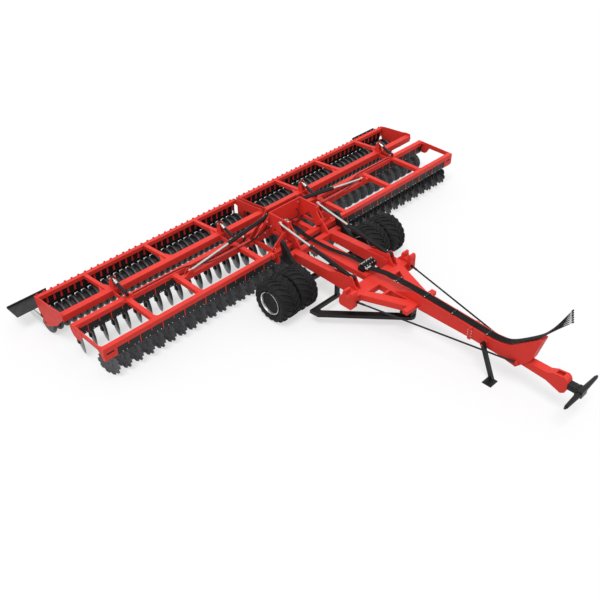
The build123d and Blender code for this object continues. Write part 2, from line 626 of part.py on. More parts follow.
for side, sign in sides:
    def out(*values):
        """The given distances from the middle, on this side."""
        return [sign * v for v in values]

    with BuildPart() as disc_frame:
        block(out(knuckle_end, half_width - plate), front_beam, front_beam_z)
        block(out(rear_beam_start, half_width - plate), rear_beam, rear_beam_z)
        block(out(knuckle_end, boom_end), boom, boom_z)
        for span, z in ((front_beam, front_beam_z), (boom, boom_z)):
            y = (span[0] + side_gap, span[1] - side_gap)
            block(out(hinge_x, knuckle_end), y, z)
            round_y(y, sign * hinge_x, hinge_z, knuckle_r)
            round_y(y, sign * hinge_x, hinge_z, hinge_pin_r + slip, mode=Mode.SUBTRACT)
        for x in cross_members:
            block(out(x - beam / 2, x + beam / 2), (front_beam[1], rear_beam[0]), (860, 970))
        # outer side plate with its deep rear lobe and front tip
        plate_x(out(half_width - plate, half_width),
                [(0, 660), (0, 970), (1190, 985), (1240, 955), (1262, 900), (1248, 810), (1200, 715), (1140, 666),
                 (1050, 645), (950, 652), (890, 690), (795, 850), (240, 850), (130, 760), (78, 668), (55, 648),
                 (15, 648)])
    finish(disc_frame, f"{side}_disc_frame")

    with BuildPart() as frame_brackets:
        # gussets in the windows' corners
        corners = [(x + step * beam / 2, step) for x in cross_members for step in (-1, 1)]
        for edge, step in corners[1:] + [(half_width - plate, -1)]:
            for y, turn in ((front_beam[1], 1), (rear_beam[0], -1)):
                plate_z((925, 950), [(sign * edge, y), (sign * (edge + step * gusset), y),
                                     (sign * (edge + step * gusset / 3), y + turn * gusset / 3),
                                     (sign * edge, y + turn * gusset)])
        # boxed bracket under the front beam's end, with its slot
        block(out(wing_bays[0] + bay_plate / 2, half_width - plate), (0, housing_back - 1), (650, 850))
        block(out(wing_bays[0] + 60, half_width - 60), (-1, 15), (788, 838), mode=Mode.SUBTRACT)
        # red brackets between the torsion housings
        for x in wing_bays:
            for y0, z0 in ((front_beam[0], front_beam_z[0]), (rear_beam[0], rear_beam_z[0])):
                plate_x(out(x - bay_plate / 2, x + bay_plate / 2),
                        [(y0, z0), (y0 + 116, z0), (y0 + 100, z0 - 130), (y0, z0 - 200)])
                mid = x - disc_pitch
                if mid > housing_start + 40:
                    plate_x(out(mid - bay_plate / 2, mid + bay_plate / 2),
                            [(y0, z0), (y0 + housing_back - 1, z0), (y0 + housing_back - 1, z0 - tab_drop),
                             (y0, z0 - tab_drop)])
        # lugs for the fold cylinder's rod
        for y in (boom[0] + 5, boom[1] - 21):
            plate_y((y, y + 16), [(sign * 2940, boom_z[1]), (sign * 3160, boom_z[1]), (sign * 3070, 1062),
                                  (sign * 2972, 1062)])
        for y in (boom[0] - 7, boom[1] - 5):
            round_y((y, y + 12), sign * fold_head[0], fold_head[1], 34.0, faces=6)
        # lugs for the depth cylinders
        for x in depth_x:
            for edge in (x - 60, x + 44):
                plate_x(out(edge, edge + 16), [(1075, 980), (1195, 980), (1160, 1070), (1130, 1090), (1095, 1070)])
            round_x(out(x - 72, x + 72), *depth_low, 16.0)
        block(out(port_x, port_x + 60), (1095, 1145), (rear_beam_z[1], 1012))
    finish(frame_brackets, f"{side}_frame_brackets")

    # hose along the boom, over it and along the rear beam to the outer depth cylinder's port
    with BuildPart() as wing_hose:
        hose([(sign * hose_start, 784, 984), (sign * 2120, 784, 984), (sign * 2480, 812, 990),
              (sign * 2760, 1000, 1000), (sign * 3060, 1120, 995), (sign * port_x, 1120, 995)],
             [120, 150, 150, 200], 10.0)
    finish(wing_hose, f"{side}_wing_hose")

    with BuildPart() as front_discs:
        disc_row(notched_disc, out(*wing_discs), front_row, "front")
    finish(front_discs, f"{side}_front_discs")
    with BuildPart() as rear_discs:
        disc_row(smooth_disc, out(*wing_discs), rear_row, "rear")
    finish(rear_discs, f"{side}_rear_discs")
    with BuildPart() as disc_carriers:
        ends = out(half_width - housing_inset, housing_start)
        carriers(out(*wing_discs), wing_bays, *ends, front_beam, front_beam_z[0], front_arms)
        carriers(out(*wing_discs), wing_bays, *ends, rear_beam, rear_beam_z[0], rear_arms)
    finish(disc_carriers, f"{side}_disc_carriers")

    with BuildPart() as roller_frame:
        inner, outer = roller_inner, half_width - end_steel
        block(out(inner + end_steel, outer), main_beam, main_beam_z)
        block(out(inner + end_steel, outer), scraper_beam, scraper_beam_z)
        for x in roller_arms:
            plate_x(out(x - 45, x + 45), [(main_beam[1], 860), (main_beam[1], 980), (scraper_beam[0], 900),
                                          (scraper_beam[0], 815)])
        for edge in (inner, outer):
            span = out(edge, edge + end_steel)
            top = [(main_beam[0] - 10, 900), (main_beam[0] + 20, 1050), (1700, 1050), (1840, 1020), (2500, 960)]
            # the inner plate is an arm with a slim hanger, the outer one is closed down to the bearing
            if edge == inner:
                plate_x(span, [(2718, 913), (2700, 800), (2540, 770), (2530, 300), (2350, 300), (2330, 720),
                               (1740, 830)] + top)
            else:
                plate_x(span, [(2718, 913), (2620, 556), (2490, 425), (2385, 227), (1885, 520), (1590, 830)] + top)
            round_x(span, roller_y, roller_r, 90.0)
            round_x(span, roller_y, roller_r, roller_shaft_r + slip, mode=Mode.SUBTRACT)
        for x in depth_x:
            # upstand and drawbars to the disc frame
            for edge in (x - 60, x + 44):
                plate_x(out(edge, edge + 16), [(main_beam[0], 990), (main_beam[1], 990), (1660, 1270), (1620, 1300),
                                               (1575, 1270)])
            round_x(out(x - 72, x + 72), *depth_high, 16.0)
            for edge in (x - 95, x + 75):
                plate_x(out(edge, edge + 20), [(rear_beam[1], 870), (rear_beam[1], 960), (main_beam[0], 970),
                                               (main_beam[0], 850)])
    finish(roller_frame, f"{side}_roller_frame")

    # gussets that stiffen the roller frame's arms at its main beam
    with BuildPart() as roller_gussets:
        for x in roller_arms:
            for step in (-1, 1):
                edge = x + step * 45
                plate_z((915, 935), [(sign * edge, main_beam[1]), (sign * (edge + step * arm_gusset[0]), main_beam[1]),
                                     (sign * edge, main_beam[1] + arm_gusset[1])])
    finish(roller_gussets, f"{side}_roller_gussets")

    under, back = scraper_beam_z[0], scraper_beam[1]
    with BuildPart() as scrapers:
        for k in range(ring_count - 1):
            x = ring_first + (k + 0.5) * ring_pitch
            half, neck, tip = scraper_width / 2, under - holder_reach - 10, under - scraper_reach
            right_side = [(half, under), (half, neck), (scraper_wing, neck - 5), (scraper_wing, scraper_ledge),
                          (scraper_tip, scraper_ledge), (scraper_tip, tip)]
            plate_y((2650, 2664), [(sign * x + dx, z) for dx, z in right_side]
                    + [(sign * x - dx, z) for dx, z in reversed(right_side)])
    finish(scrapers, f"{side}_scrapers")

    with BuildPart() as scraper_holders:
        for k in range(ring_count):
            x = ring_first + k * ring_pitch
            plate_x(out(x - holder_width / 2, x + holder_width / 2),
                    [(back - 71, under), (back - 71, under - holder_reach), (back - 40, under - holder_reach), (back - 20, under - 25),
                     (back + 24, under), (back + 24, under + 115), (back, under + 125), (back, under)])
    finish(scraper_holders, f"{side}_scraper_holders")

    with BuildPart() as depth_cylinders:
        for x in out(*depth_x):
            low, high = (x, *depth_low), (x, *depth_high)
            reach = distance(depth_low, depth_high)
            round_x((x - 36, x + 36), *depth_low, 34.0)
            round_x((x - 36, x + 36), *depth_high, 34.0)
            rod(low, high, 25, 340, 42.0, faces=12)
            rod(low, high, 330, reach - 25, 22.0, faces=8)
            for near in (350, 385, 420):
                rod(low, high, near, near + 28, 36.0, faces=8)
            for pin in (depth_low, depth_high):
                round_x((x - 37, x + 37), *pin, 16.0 + slip, mode=Mode.SUBTRACT)
    finish(depth_cylinders, f"{side}_depth_cylinders")

    with BuildPart() as edge_board:
        block(out(*board_x), board_y, (445, 457))
        # bracket that carries it on the end plate
        plate_x(out(half_width, half_width + 15), [(2480, 420), (2700, 445), (3250, 445), (3250, 425), (3040, 200),
                                                   (2560, 230)])
        block(out(*board_x), (board_rear - 20, board_rear), (457, 500))
    finish(edge_board, f"{side}_edge_board")

    with BuildPart() as roller:
        drum_in, drum_out = drum_ends
        round_x(out(drum_in, drum_out), roller_y, roller_r, drum_r, faces=ring_faces)
        add([Pos(sign * (ring_first + k * ring_pitch), 0, 0) * ring.part for k in range(ring_count)])
        round_x(out(drum_in + drum_wall, drum_out - drum_wall), roller_y, roller_r, drum_r - drum_wall,
                mode=Mode.SUBTRACT, faces=ring_faces)
        for span in (out(roller_inner - 10, drum_in + 1), out(drum_out - 1, half_width + 10)):
            round_x(span, roller_y, roller_r, roller_shaft_r)
    finish(roller, f"{side}_roller")

    # ---- tilt cylinder
    foot, head = (sign * tilt_x, *tilt_foot), (sign * tilt_x, *tilt_head)
    reach = distance(tilt_foot, tilt_head)
    with BuildPart() as barrel:
        round_x(out(tilt_x - 45, tilt_x + 45), *tilt_foot, 58.0)
        rod(foot, head, 20, tilt_barrel, 50.0)
        rod(foot, head, tilt_barrel - 60, tilt_barrel, 57.0)
        rod(foot, head, 480, tilt_barrel + 1, 30.0 + slip, mode=Mode.SUBTRACT)
        round_x(out(tilt_x - 58, tilt_x + 58), *tilt_foot, 25.0 + slip, mode=Mode.SUBTRACT)
    finish(barrel, f"{side}_tilt_barrel")
    with BuildPart() as piston_rod:
        rod(foot, head, 1100, reach - 20, 30.0)
        round_x(out(tilt_x - 30, tilt_x + 30), *tilt_head, 45.0)
        round_x(out(tilt_x - 34, tilt_x + 34), *tilt_head, 20.0)
    finish(piston_rod, f"{side}_tilt_rod")

    # ---- fold cylinder
    foot, head = (sign * fold_foot[0], fold_y, fold_foot[1]), (sign * fold_head[0], fold_y, fold_head[1])
    reach = distance(fold_foot, fold_head)
    with BuildPart() as barrel:
        round_y((fold_y - 38, fold_y + 38), sign * fold_foot[0], fold_foot[1], 54.0)
        rod(foot, head, 20, fold_barrel, 50.0)
        rod(foot, head, fold_barrel - 55, fold_barrel, 54.0)
        rod(foot, head, 150, fold_barrel + 1, 28.0 + slip, mode=Mode.SUBTRACT)
        round_y((fold_y - 58, fold_y + 58), sign * fold_foot[0], fold_foot[1], 25.0 + slip, mode=Mode.SUBTRACT)
    finish(barrel, f"{side}_fold_barrel")
    with BuildPart() as piston_rod:
        rod(foot, head, 1250, reach - 20, 28.0)
        round_y((fold_y - 31, fold_y + 31), sign * fold_head[0], fold_head[1], 42.0)
        round_y((fold_y - 36, fold_y + 36), sign * fold_head[0], fold_head[1], 20.0)
    finish(piston_rod, f"{side}_fold_rod")
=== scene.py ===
# %% [markdown]
# # A folding disc harrow in Blender
#
# The machine is a trailed disc harrow: a long drawbar, a chassis on twin
# wheels, and a toolbar that carries two wings. Each wing has a row of notched
# discs, a row of plain discs and a ring roller behind them. The steelwork
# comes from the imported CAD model, which stays as it is. Blender adds what the
# eye looks for: smoothly dished discs, rounded roller rings, tyres with their
# tread, round hoses, bolts, fittings, and a finish for every surface.
#
# Everything is in metres. X points to the machine's left, Y to the rear and
# Z up.

# %% Load the machine's frame
import math

import bmesh
import bpy
import numpy as np
from mathutils import Matrix, Vector


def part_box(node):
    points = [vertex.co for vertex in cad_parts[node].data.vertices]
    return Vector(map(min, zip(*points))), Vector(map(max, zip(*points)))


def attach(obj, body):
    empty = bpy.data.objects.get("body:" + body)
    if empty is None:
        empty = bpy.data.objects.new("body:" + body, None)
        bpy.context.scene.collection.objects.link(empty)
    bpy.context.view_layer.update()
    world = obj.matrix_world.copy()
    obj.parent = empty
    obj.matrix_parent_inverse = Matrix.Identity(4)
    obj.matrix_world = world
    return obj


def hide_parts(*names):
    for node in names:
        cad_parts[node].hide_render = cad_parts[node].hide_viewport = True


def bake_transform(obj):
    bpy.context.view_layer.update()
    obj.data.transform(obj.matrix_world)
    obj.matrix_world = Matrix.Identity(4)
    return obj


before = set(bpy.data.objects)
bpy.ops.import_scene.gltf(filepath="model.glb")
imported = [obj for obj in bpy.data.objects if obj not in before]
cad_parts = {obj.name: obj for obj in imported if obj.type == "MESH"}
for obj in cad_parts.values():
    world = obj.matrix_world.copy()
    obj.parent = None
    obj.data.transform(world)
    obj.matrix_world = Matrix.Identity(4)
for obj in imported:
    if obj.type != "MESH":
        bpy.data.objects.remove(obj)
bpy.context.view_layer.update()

# %% [markdown]
# ## Where things are
#
# Distances to the rear are measured from one zero line, as on a workshop
# drawing. It lies a millimetre behind the front face of the wings' first
# beam, so a place made by `at` is a millimetre further to the rear than the
# same station in the CAD model. Most pieces come in pairs, so `SIDES` gives
# each side's name and the sign of its X. The right of the machine is at
# negative X.

# %% Places on the machine
SIDES = {"right": -1, "left": 1}
UP, ACROSS = Vector((0, 0, 1)), Vector((1, 0, 0))
FORWARD, BACKWARD = Vector((0, -1, 0)), Vector((0, 1, 0))
ZERO_BEHIND = 0.001
FRONT_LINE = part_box("left_disc_frame")[0].y + ZERO_BEHIND
HALF_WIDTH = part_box("left_disc_frame")[1].x


def at(x, back, up):
    """A place: x across, back from the zero line, up from the ground."""
    return Vector((x, FRONT_LINE + back, up))


print("zero line at y =", round(FRONT_LINE, 3), "half width", round(HALF_WIDTH, 3))

# %% [markdown]
# ## The camera
#
# The view is from high up at the front right, through a long lens, so that
# the wings run across the picture and the drawbar points at the lower right
# corner.

# %% Camera
def in_scene(name, data):
    """An object that shows some data, added to the scene."""
    item = bpy.data.objects.new(name, data)
    bpy.context.scene.collection.objects.link(item)
    return item


camera = in_scene("camera", bpy.data.cameras.new("camera"))
camera.location = (-11.834, -9.394, 11.843)
camera.rotation_euler = (math.radians(52.113), 0.0, math.radians(-45.579))
camera.data.sensor_width, camera.data.lens, camera.data.clip_end = 36.0, 47.83, 300.0
camera.data.shift_x, camera.data.shift_y = -0.0088, -0.0027
bpy.context.scene.camera = camera
print("lens", round(camera.data.lens, 2), "mm")

# %% [markdown]
# ## Light and floor
#
# A studio for a machine this long is one even white room. The world gives
# soft light from all round, and one wide sun from above makes the tops
# brighter than the sides, which shows the shape of the tubes. The floor is
# white to the camera and in reflections, and a middle grey to everything
# else, so that it doesn't fill the shaded sides with light from below. A
# share of its white is a glow, which keeps the shadow under the machine but
# makes it as pale as in a bright studio.

# %% What a ray sees
bpy.context.scene.view_settings.view_transform = "Standard"


def calculated(tree, operation, first, second=0.0, clamped=False):
    """Arithmetic on two values. Each is a number or a socket."""
    node = tree.nodes.new("ShaderNodeMath")
    node.operation, node.use_clamp = operation, clamped
    for socket, value in zip(node.inputs, (first, second)):
        if isinstance(value, bpy.types.NodeSocket):
            tree.links.new(value, socket)
        else:
            socket.default_value = value
    return node.outputs[0]


def seen_directly(tree):
    """1 for rays from the camera, mirrors and glass, 0 for the light that surfaces give each other."""
    ray = tree.nodes.new("ShaderNodeLightPath").outputs
    through = calculated(tree, "ADD", ray["Is Glossy Ray"], ray["Is Transmission Ray"])
    return calculated(tree, "ADD", ray["Is Camera Ray"], through, clamped=True)


def mixed(tree, factor, low, high):
    """A colour between two others. Each is a colour or a socket."""
    mix = tree.nodes.new("ShaderNodeMix")
    mix.data_type = "RGBA"
    tree.links.new(factor, mix.inputs["Factor"])
    for socket, value in ((mix.inputs[6], low), (mix.inputs[7], high)):
        if isinstance(value, bpy.types.NodeSocket):
            tree.links.new(value, socket)
        else:
            socket.default_value = (*value, 1.0)
    return mix.outputs[2]


print("view transform", bpy.context.scene.view_settings.view_transform)

# %% Floor
FLOOR_REACH, FLOOR_DROP, GLOW_SHARE = 90.0, 0.002, 0.6
FLOOR_GREY, FLOOR_WHITE = (0.3, 0.3, 0.3), (0.97, 0.97, 0.97)

floor_mesh = bpy.data.meshes.new("floor")
corners = [(x * FLOOR_REACH, y * FLOOR_REACH, 0) for x, y in ((-1, -1), (1, -1), (1, 1), (-1, 1))]
floor_mesh.from_pydata(corners, [], [(0, 1, 2, 3)])
floor = in_scene("floor", floor_mesh)
floor.location.z = -FLOOR_DROP
floor_paint = bpy.data.materials.new("floor_white")
floor_paint.use_nodes = True
tree = floor_paint.node_tree
shader = tree.nodes["Principled BSDF"]
shader.inputs["Roughness"].default_value = 1.0
shader.inputs["Specular IOR Level"].default_value = 0.0
seen = seen_directly(tree)
tree.links.new(mixed(tree, seen, FLOOR_GREY, FLOOR_WHITE), shader.inputs["Base Color"])
glow = tree.nodes.new("ShaderNodeEmission")
lifted = tree.nodes.new("ShaderNodeMixShader")
tree.links.new(calculated(tree, "MULTIPLY", seen, GLOW_SHARE), lifted.inputs["Fac"])
tree.links.new(shader.outputs["BSDF"], lifted.inputs[1])
tree.links.new(glow.outputs["Emission"], lifted.inputs[2])
tree.links.new(lifted.outputs["Shader"], tree.nodes["Material Output"].inputs["Surface"])
floor_mesh.materials.append(floor_paint)
print("floor", 2 * FLOOR_REACH, "m wide")

# %% World and sun
ROOM_LIGHT, ROOM_WHITE = (0.62, 0.63, 0.65), (1.0, 1.0, 1.0)

world = bpy.data.worlds.new("studio")
bpy.context.scene.world = world
world.use_nodes = True
tree = world.node_tree
room = mixed(tree, seen_directly(tree), ROOM_LIGHT, ROOM_WHITE)
tree.links.new(room, tree.nodes["Background"].inputs["Color"])

sun = in_scene("sun", bpy.data.lights.new("sun", "SUN"))
sun.data.energy, sun.data.angle = 1.55, math.radians(25.0)
sun.rotation_euler = [math.radians(degrees) for degrees in (24.0, -8.0, -40.0)]
print("sun", round(sun.data.energy, 2), "W/m2")

# %% [markdown]
# ## How a finish is made
#
# Each finish is a Principled shader with a few procedural textures. The
# helpers below name the steps: a noise in the machine's own metres, a stretch
# of its range, and a mask for sharp edges. The mask compares the surface's
# real direction with that of a slightly rounded copy: they differ only near
# an edge, which is where paint wears thin and light catches. A second mask
# finds the corners that neighbours close in, where the finishes paint in
# shade.

# %% Steps of a finish
def new_finish(name, roughness, metallic=0.0):
    """An empty finish: its material, its node tree and its shader."""
    material = bpy.data.materials.new(name)
    material.use_nodes = True
    shader = material.node_tree.nodes["Principled BSDF"]
    shader.inputs["Roughness"].default_value = roughness
    shader.inputs["Metallic"].default_value = metallic
    return material, material.node_tree, shader


def noise(tree, scale, detail=3.0, stretch=(1.0, 1.0, 1.0), place=None):
    """Cloudy noise with about scale spots per metre."""
    if place is None:
        place = tree.nodes.new("ShaderNodeTexCoord").outputs["Object"]
    mapping = tree.nodes.new("ShaderNodeMapping")
    mapping.inputs["Scale"].default_value = stretch
    tree.links.new(place, mapping.inputs["Vector"])
    texture = tree.nodes.new("ShaderNodeTexNoise")
    texture.inputs["Scale"].default_value = scale
    texture.inputs["Detail"].default_value = detail
    tree.links.new(mapping.outputs["Vector"], texture.inputs["Vector"])
    return texture.outputs["Fac"]


def stretched(tree, value, low, high, to_low=0.0, to_high=1.0):
    """Spreads the part of a value between low and high over a new range."""
    node = tree.nodes.new("ShaderNodeMapRange")
    tree.links.new(value, node.inputs["Value"])
    for name, number in (("From Min", low), ("From Max", high), ("To Min", to_low), ("To Max", to_high)):
        node.inputs[name].default_value = number
    return node.outputs["Result"]


def clouds(tree, scale, detail=3.0, low=0.3, high=0.7, to_low=0.0, to_high=1.0):
    """Noise with more contrast: 0 below low, 1 above high, or another range."""
    return stretched(tree, noise(tree, scale, detail), low, high, to_low, to_high)


def drifting_gloss(tree, shader, roughness, smoother, rougher, scale, detail=5.0):
    """Roughness that drifts by a little less and a little more, in clouds."""
    drift = clouds(tree, scale, detail, to_low=roughness - smoother, to_high=roughness + rougher)
    tree.links.new(drift, shader.inputs["Roughness"])


def rough_surface(tree, shader, height, depth):
    """Bumps of a given depth in metres."""
    bump = tree.nodes.new("ShaderNodeBump")
    bump.inputs["Distance"].default_value = depth
    bump.inputs["Strength"].default_value = 1.0
    tree.links.new(height, bump.inputs["Height"])
    tree.links.new(bump.outputs["Normal"], shader.inputs["Normal"])


print("noise, gloss and bump helpers ready")

# %% Edges and corners
def near_edges(tree, width, share=1.0):
    """Up to a share within a width of a sharp edge, and 0 on the flat."""
    rounded = tree.nodes.new("ShaderNodeBevel")
    rounded.samples = 4
    rounded.inputs["Radius"].default_value = width
    real = tree.nodes.new("ShaderNodeNewGeometry")
    compare = tree.nodes.new("ShaderNodeVectorMath")
    compare.operation = "DOT_PRODUCT"
    tree.links.new(rounded.outputs["Normal"], compare.inputs[0])
    tree.links.new(real.outputs["Normal"], compare.inputs[1])
    return stretched(tree, compare.outputs["Value"], 0.99, 0.8, 0.0, share)


def painted_corner_shade(tree, reach, share):
    """Painted shade: up to a share where neighbours close a surface in, and 0 in the open."""
    shelter = tree.nodes.new("ShaderNodeAmbientOcclusion")
    shelter.samples = 6
    shelter.inputs["Distance"].default_value = reach
    return stretched(tree, shelter.outputs["AO"], 0.95, 0.25, 0.0, share)


print("edge and corner masks ready")

# %% [markdown]
# ## Sprayed paint
#
# Farm machines are powder coated. The coat is glossy but not flat: it has a
# faint orange peel, its colour drifts a little between batches of parts, dust
# settles on what faces up, and it looks paler where it is thin along edges.
# A painted shade darkens the corners that neighbours close in. One helper
# makes all three paints, because only their colours differ.

# %% Paints
EDGE_WEAR, DUST_SHARE = 0.65, 0.06


def paint(name, colour, second, edge, dust, roughness, shine):
    """A powder coat: two shades that drift, painted shade in corners, pale edges and a little dust on top.
    """
    material, tree, shader = new_finish(name, roughness)
    shader.inputs["Specular IOR Level"].default_value = shine
    shade = mixed(tree, clouds(tree, 0.9, low=0.35, high=0.65), colour, second)
    # Painted shade: corners that neighbours close in go darker, towards a third of the second shade.
    shade = mixed(tree, painted_corner_shade(tree, 0.15, 0.55), shade, tuple(0.3 * part for part in second))
    patches = clouds(tree, 22.0, low=0.35, high=0.6)
    worn = calculated(tree, "MULTIPLY", near_edges(tree, 0.006, EDGE_WEAR), patches)
    shade = mixed(tree, worn, shade, edge)
    facing = tree.nodes.new("ShaderNodeSeparateXYZ")
    tree.links.new(tree.nodes.new("ShaderNodeNewGeometry").outputs["Normal"], facing.inputs["Vector"])
    upward = stretched(tree, facing.outputs["Z"], 0.5, 1.0, 0.0, DUST_SHARE)
    settled = calculated(tree, "MULTIPLY", upward, clouds(tree, 6.0, 6.0, 0.45, 0.75))
    tree.links.new(mixed(tree, settled, shade, dust), shader.inputs["Base Color"])
    drifting_gloss(tree, shader, roughness, 0.06, 0.1, 9.0)
    rough_surface(tree, shader, noise(tree, 260.0, 2.0), 0.0003)
    return material


RED = paint("red_powder_coat", colour=(0.86, 0.045, 0.030), second=(0.79, 0.038, 0.026),
            edge=(0.95, 0.15, 0.11), dust=(0.78, 0.20, 0.16), roughness=0.5, shine=0.32)
BLACK = paint("black_cylinder_paint", colour=(0.010, 0.010, 0.011), second=(0.015, 0.015, 0.016),
              edge=(0.07, 0.07, 0.073), dust=(0.05, 0.048, 0.046), roughness=0.36, shine=0.22)
DARK = paint("dark_grey_paint", colour=(0.013, 0.0135, 0.015), second=(0.020, 0.0205, 0.022),
             edge=(0.09, 0.09, 0.094), dust=(0.05, 0.048, 0.046), roughness=0.44, shine=0.2)
print("paints:", RED.name, BLACK.name, DARK.name)

# %% [markdown]
# ## Bare and plated steel
#
# The rods of the cylinders are hard chrome. Their fine scratches run across
# the machine and stay fixed in the metal. Pin heads, bolts and fittings are
# zinc plated: duller, slightly mottled, and paler along their edges.

# %% Chrome and zinc
def plated(name, colour, second, roughness, spots, scratch=(1.0, 1.0, 1.0)):
    """A bright metal coat with mottled colour and fine scratches."""
    material, tree, shader = new_finish(name, roughness, 1.0)
    shade = mixed(tree, clouds(tree, spots, 5.0, 0.35, 0.65), colour, second)
    shade = mixed(tree, near_edges(tree, 0.003, 0.5), shade, (0.9, 0.9, 0.9))
    tree.links.new(shade, shader.inputs["Base Color"])
    drifting_gloss(tree, shader, roughness, 0.07, 0.1, 40.0, 6.0)
    rough_surface(tree, shader, noise(tree, 90.0, 3.0, scratch), 0.0002)
    return material


CHROME = plated("chromed_rod", colour=(0.62, 0.68, 0.645), second=(0.54, 0.60, 0.565), roughness=0.24,
                spots=5.0, scratch=(1.0, 6.0, 6.0))
ZINC = plated("zinc_plate", colour=(0.74, 0.77, 0.74), second=(0.62, 0.66, 0.62), roughness=0.34,
              spots=30.0)
print("metals:", CHROME.name, ZINC.name)

# %% [markdown]
# ## Giving the CAD pieces their finish
#
# The beams, brackets and plates have their right shape already, so each one
# only gets a finish. Its material slots are filled by the name of the piece.
# Their faces stay flat: a cut plate and a welded tube have no soft edges.

# %% Finish of the steelwork
STEELWORK = (  # finish, pieces in the middle, pieces on both sides
    (RED, ("chassis_beams", "cross_beam", "a_frame", "drawbar", "hose_tower", "hitch_neck", "centre_frame"),
     ("disc_frame", "frame_brackets", "roller_frame", "roller_gussets", "scraper_holders")),
    (BLACK, ("hitch_shaft", "axle", "axle_braces", "valve_block", "parking_stand"),
     ("tilt_barrel", "fold_barrel")),
    (DARK, ("centre_carriers",), ("scrapers", "disc_carriers")),
    (CHROME, (), ("tilt_rod", "fold_rod")),
)


def dress(node, finish):
    """Gives a CAD piece its finish."""
    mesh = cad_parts[node].data
    mesh.materials.clear()
    mesh.materials.append(finish)


for finish, middle, paired in STEELWORK:
    nodes = [*middle, *(f"{side}_{part}" for side in SIDES for part in paired)]
    for node in nodes:
        dress(node, finish)
    print(finish.name, "on", len(nodes), "pieces")

# %% [markdown]
# ## Building new pieces
#
# New pieces are made from lists of corners and faces, gathered in a `Shape`.
# Two helpers cover most of a machine: `turned` spins a profile about a line,
# as a lathe does, and `slab` gives an outline a thickness, as a cutting table
# does. `piece` turns the shape into an object, shades it smooth between sharp
# edges, and lets it ride on its body.

# %% Shapes
class Shape:
    """Corners and faces of one piece, gathered bit by bit."""

    def __init__(self):
        self.corners, self.faces = [], []

    def add(self, corners, faces):
        first = len(self.corners)
        self.corners += [tuple(corner) for corner in corners]
        self.faces += [tuple(first + i for i in face) for face in faces]


def ring_faces(rings, sides, closed=False):
    """Faces between neighbouring rings of corners. Closed rings also join the last to the first."""
    return [(r * sides + k, r * sides + (k + 1) % sides,
             (r + 1) % rings * sides + (k + 1) % sides, (r + 1) % rings * sides + k)
            for r in range(rings if closed else rings - 1) for k in range(sides)]


def end_faces(rings, sides):
    """The two faces that close a row of rings."""
    return [tuple(range(sides))[::-1], tuple((rings - 1) * sides + k for k in range(sides))]


def turned(shape, start, direction, profile, sides=20):
    """Spins a profile of (distance along, radius) about a line. Its ends are closed."""
    axis = Vector(direction).normalized()
    across = axis.orthogonal().normalized()
    upward = axis.cross(across)
    turns = [2 * math.pi * k / sides for k in range(sides)]
    corners = [start + axis * along + (across * math.cos(t) + upward * math.sin(t)) * radius
               for along, radius in profile for t in turns]
    shape.add(corners, ring_faces(len(profile), sides) + end_faces(len(profile), sides))


def drum(length, radius, first, last, slope):
    """The profile of a plain drum whose edges slope down to a first and a last radius."""
    return [(0, first), (slope, radius), (length - slope, radius), (length, last)]


def slab(shape, outline, through):
    """Gives an outline of corners a thickness."""
    count, through = len(outline), Vector(through)
    corners = list(outline) + [Vector(corner) + through for corner in outline]
    faces = [tuple(range(count))[::-1], tuple(range(count, 2 * count))]
    faces += [(k, (k + 1) % count, count + (k + 1) % count, count + k) for k in range(count)]
    shape.add(corners, faces)


def block(shape, low, high):
    """A block between two opposite corners."""
    (x0, y0, z0), (x1, y1, z1) = low, high
    slab(shape, [Vector((x0, y0, z0)), Vector((x1, y0, z0)), Vector((x1, y1, z0)), Vector((x0, y1, z0))],
         (0, 0, z1 - z0))


print("shape helpers ready")

# %% From a shape to a piece
SHARP_FROM = math.radians(32.0)


def piece(shape, name, finish, body, rounded=0.0, replaces=()):
    """Makes the object, with its finish, slightly rounded edges if wanted, and the body it rides on."""
    mesh = bpy.data.meshes.new(name)
    mesh.from_pydata(shape.corners, [], shape.faces)
    shell = bmesh.new()
    shell.from_mesh(mesh)
    bmesh.ops.recalc_face_normals(shell, faces=shell.faces)
    shell.to_mesh(mesh)
    shell.free()
    mesh.polygons.foreach_set("use_smooth", [True] * len(mesh.polygons))
    mesh.set_sharp_from_angle(angle=SHARP_FROM)
    mesh.materials.append(finish)
    item = in_scene(name, mesh)
    if rounded:
        bevel = item.modifiers.new("rounded_edges", "BEVEL")
        bevel.width, bevel.segments, bevel.limit_method = rounded, 2, "ANGLE"
    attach(item, body)
    if replaces:
        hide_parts(*replaces)
    print(f"{name}: {len(mesh.polygons)} faces")
    return item


print("sharp from", round(math.degrees(SHARP_FROM)), "degrees")

# %% [markdown]
# ## Discs
#
# A harrow disc is pressed from spring steel. It is dished, flat in the
# middle where its hub bolts on, and ground to an edge on the outside.
# The front row is notched to cut straw, and the rear row is plain to crumble
# and level. Each disc stands at 17 degrees to the line of travel: the front
# row throws outwards and the rear row back in. A disc is built once from
# rings of points, and then copied along the row. Its two faces end a fifth
# of a millimetre apart at the rim and are not joined there. Every corner also
# stores where it is on its own disc, so that the grinding marks can follow it.

# %% Disc shape
DISC_R, DISC_DEPTH, DISC_STEEL = 0.305, 0.045, 0.006
DISC_EDGE, DISC_SWELL = 0.0002, 0.999 * DISC_STEEL  # distance of the faces at the rim; more in the middle
DISC_AXIS_UP, DISC_ANGLE, DISC_PITCH = 0.320, math.radians(17.0), 0.300
FRONT_ROW, REAR_ROW, CENTRE_REAR_ROW = 0.246, 1.290, 1.215
FLAT_TO, GROUND_FROM, NOTCHED_FROM = 0.38, 0.93, 0.5  # shares of the disc's radius
LOBES, NOTCH_FLOOR = 10, 0.87


def ramp(value, low, high):
    """0 below low, 1 above high and straight between them."""
    return min(1.0, max(0.0, (value - low) / (high - low)))


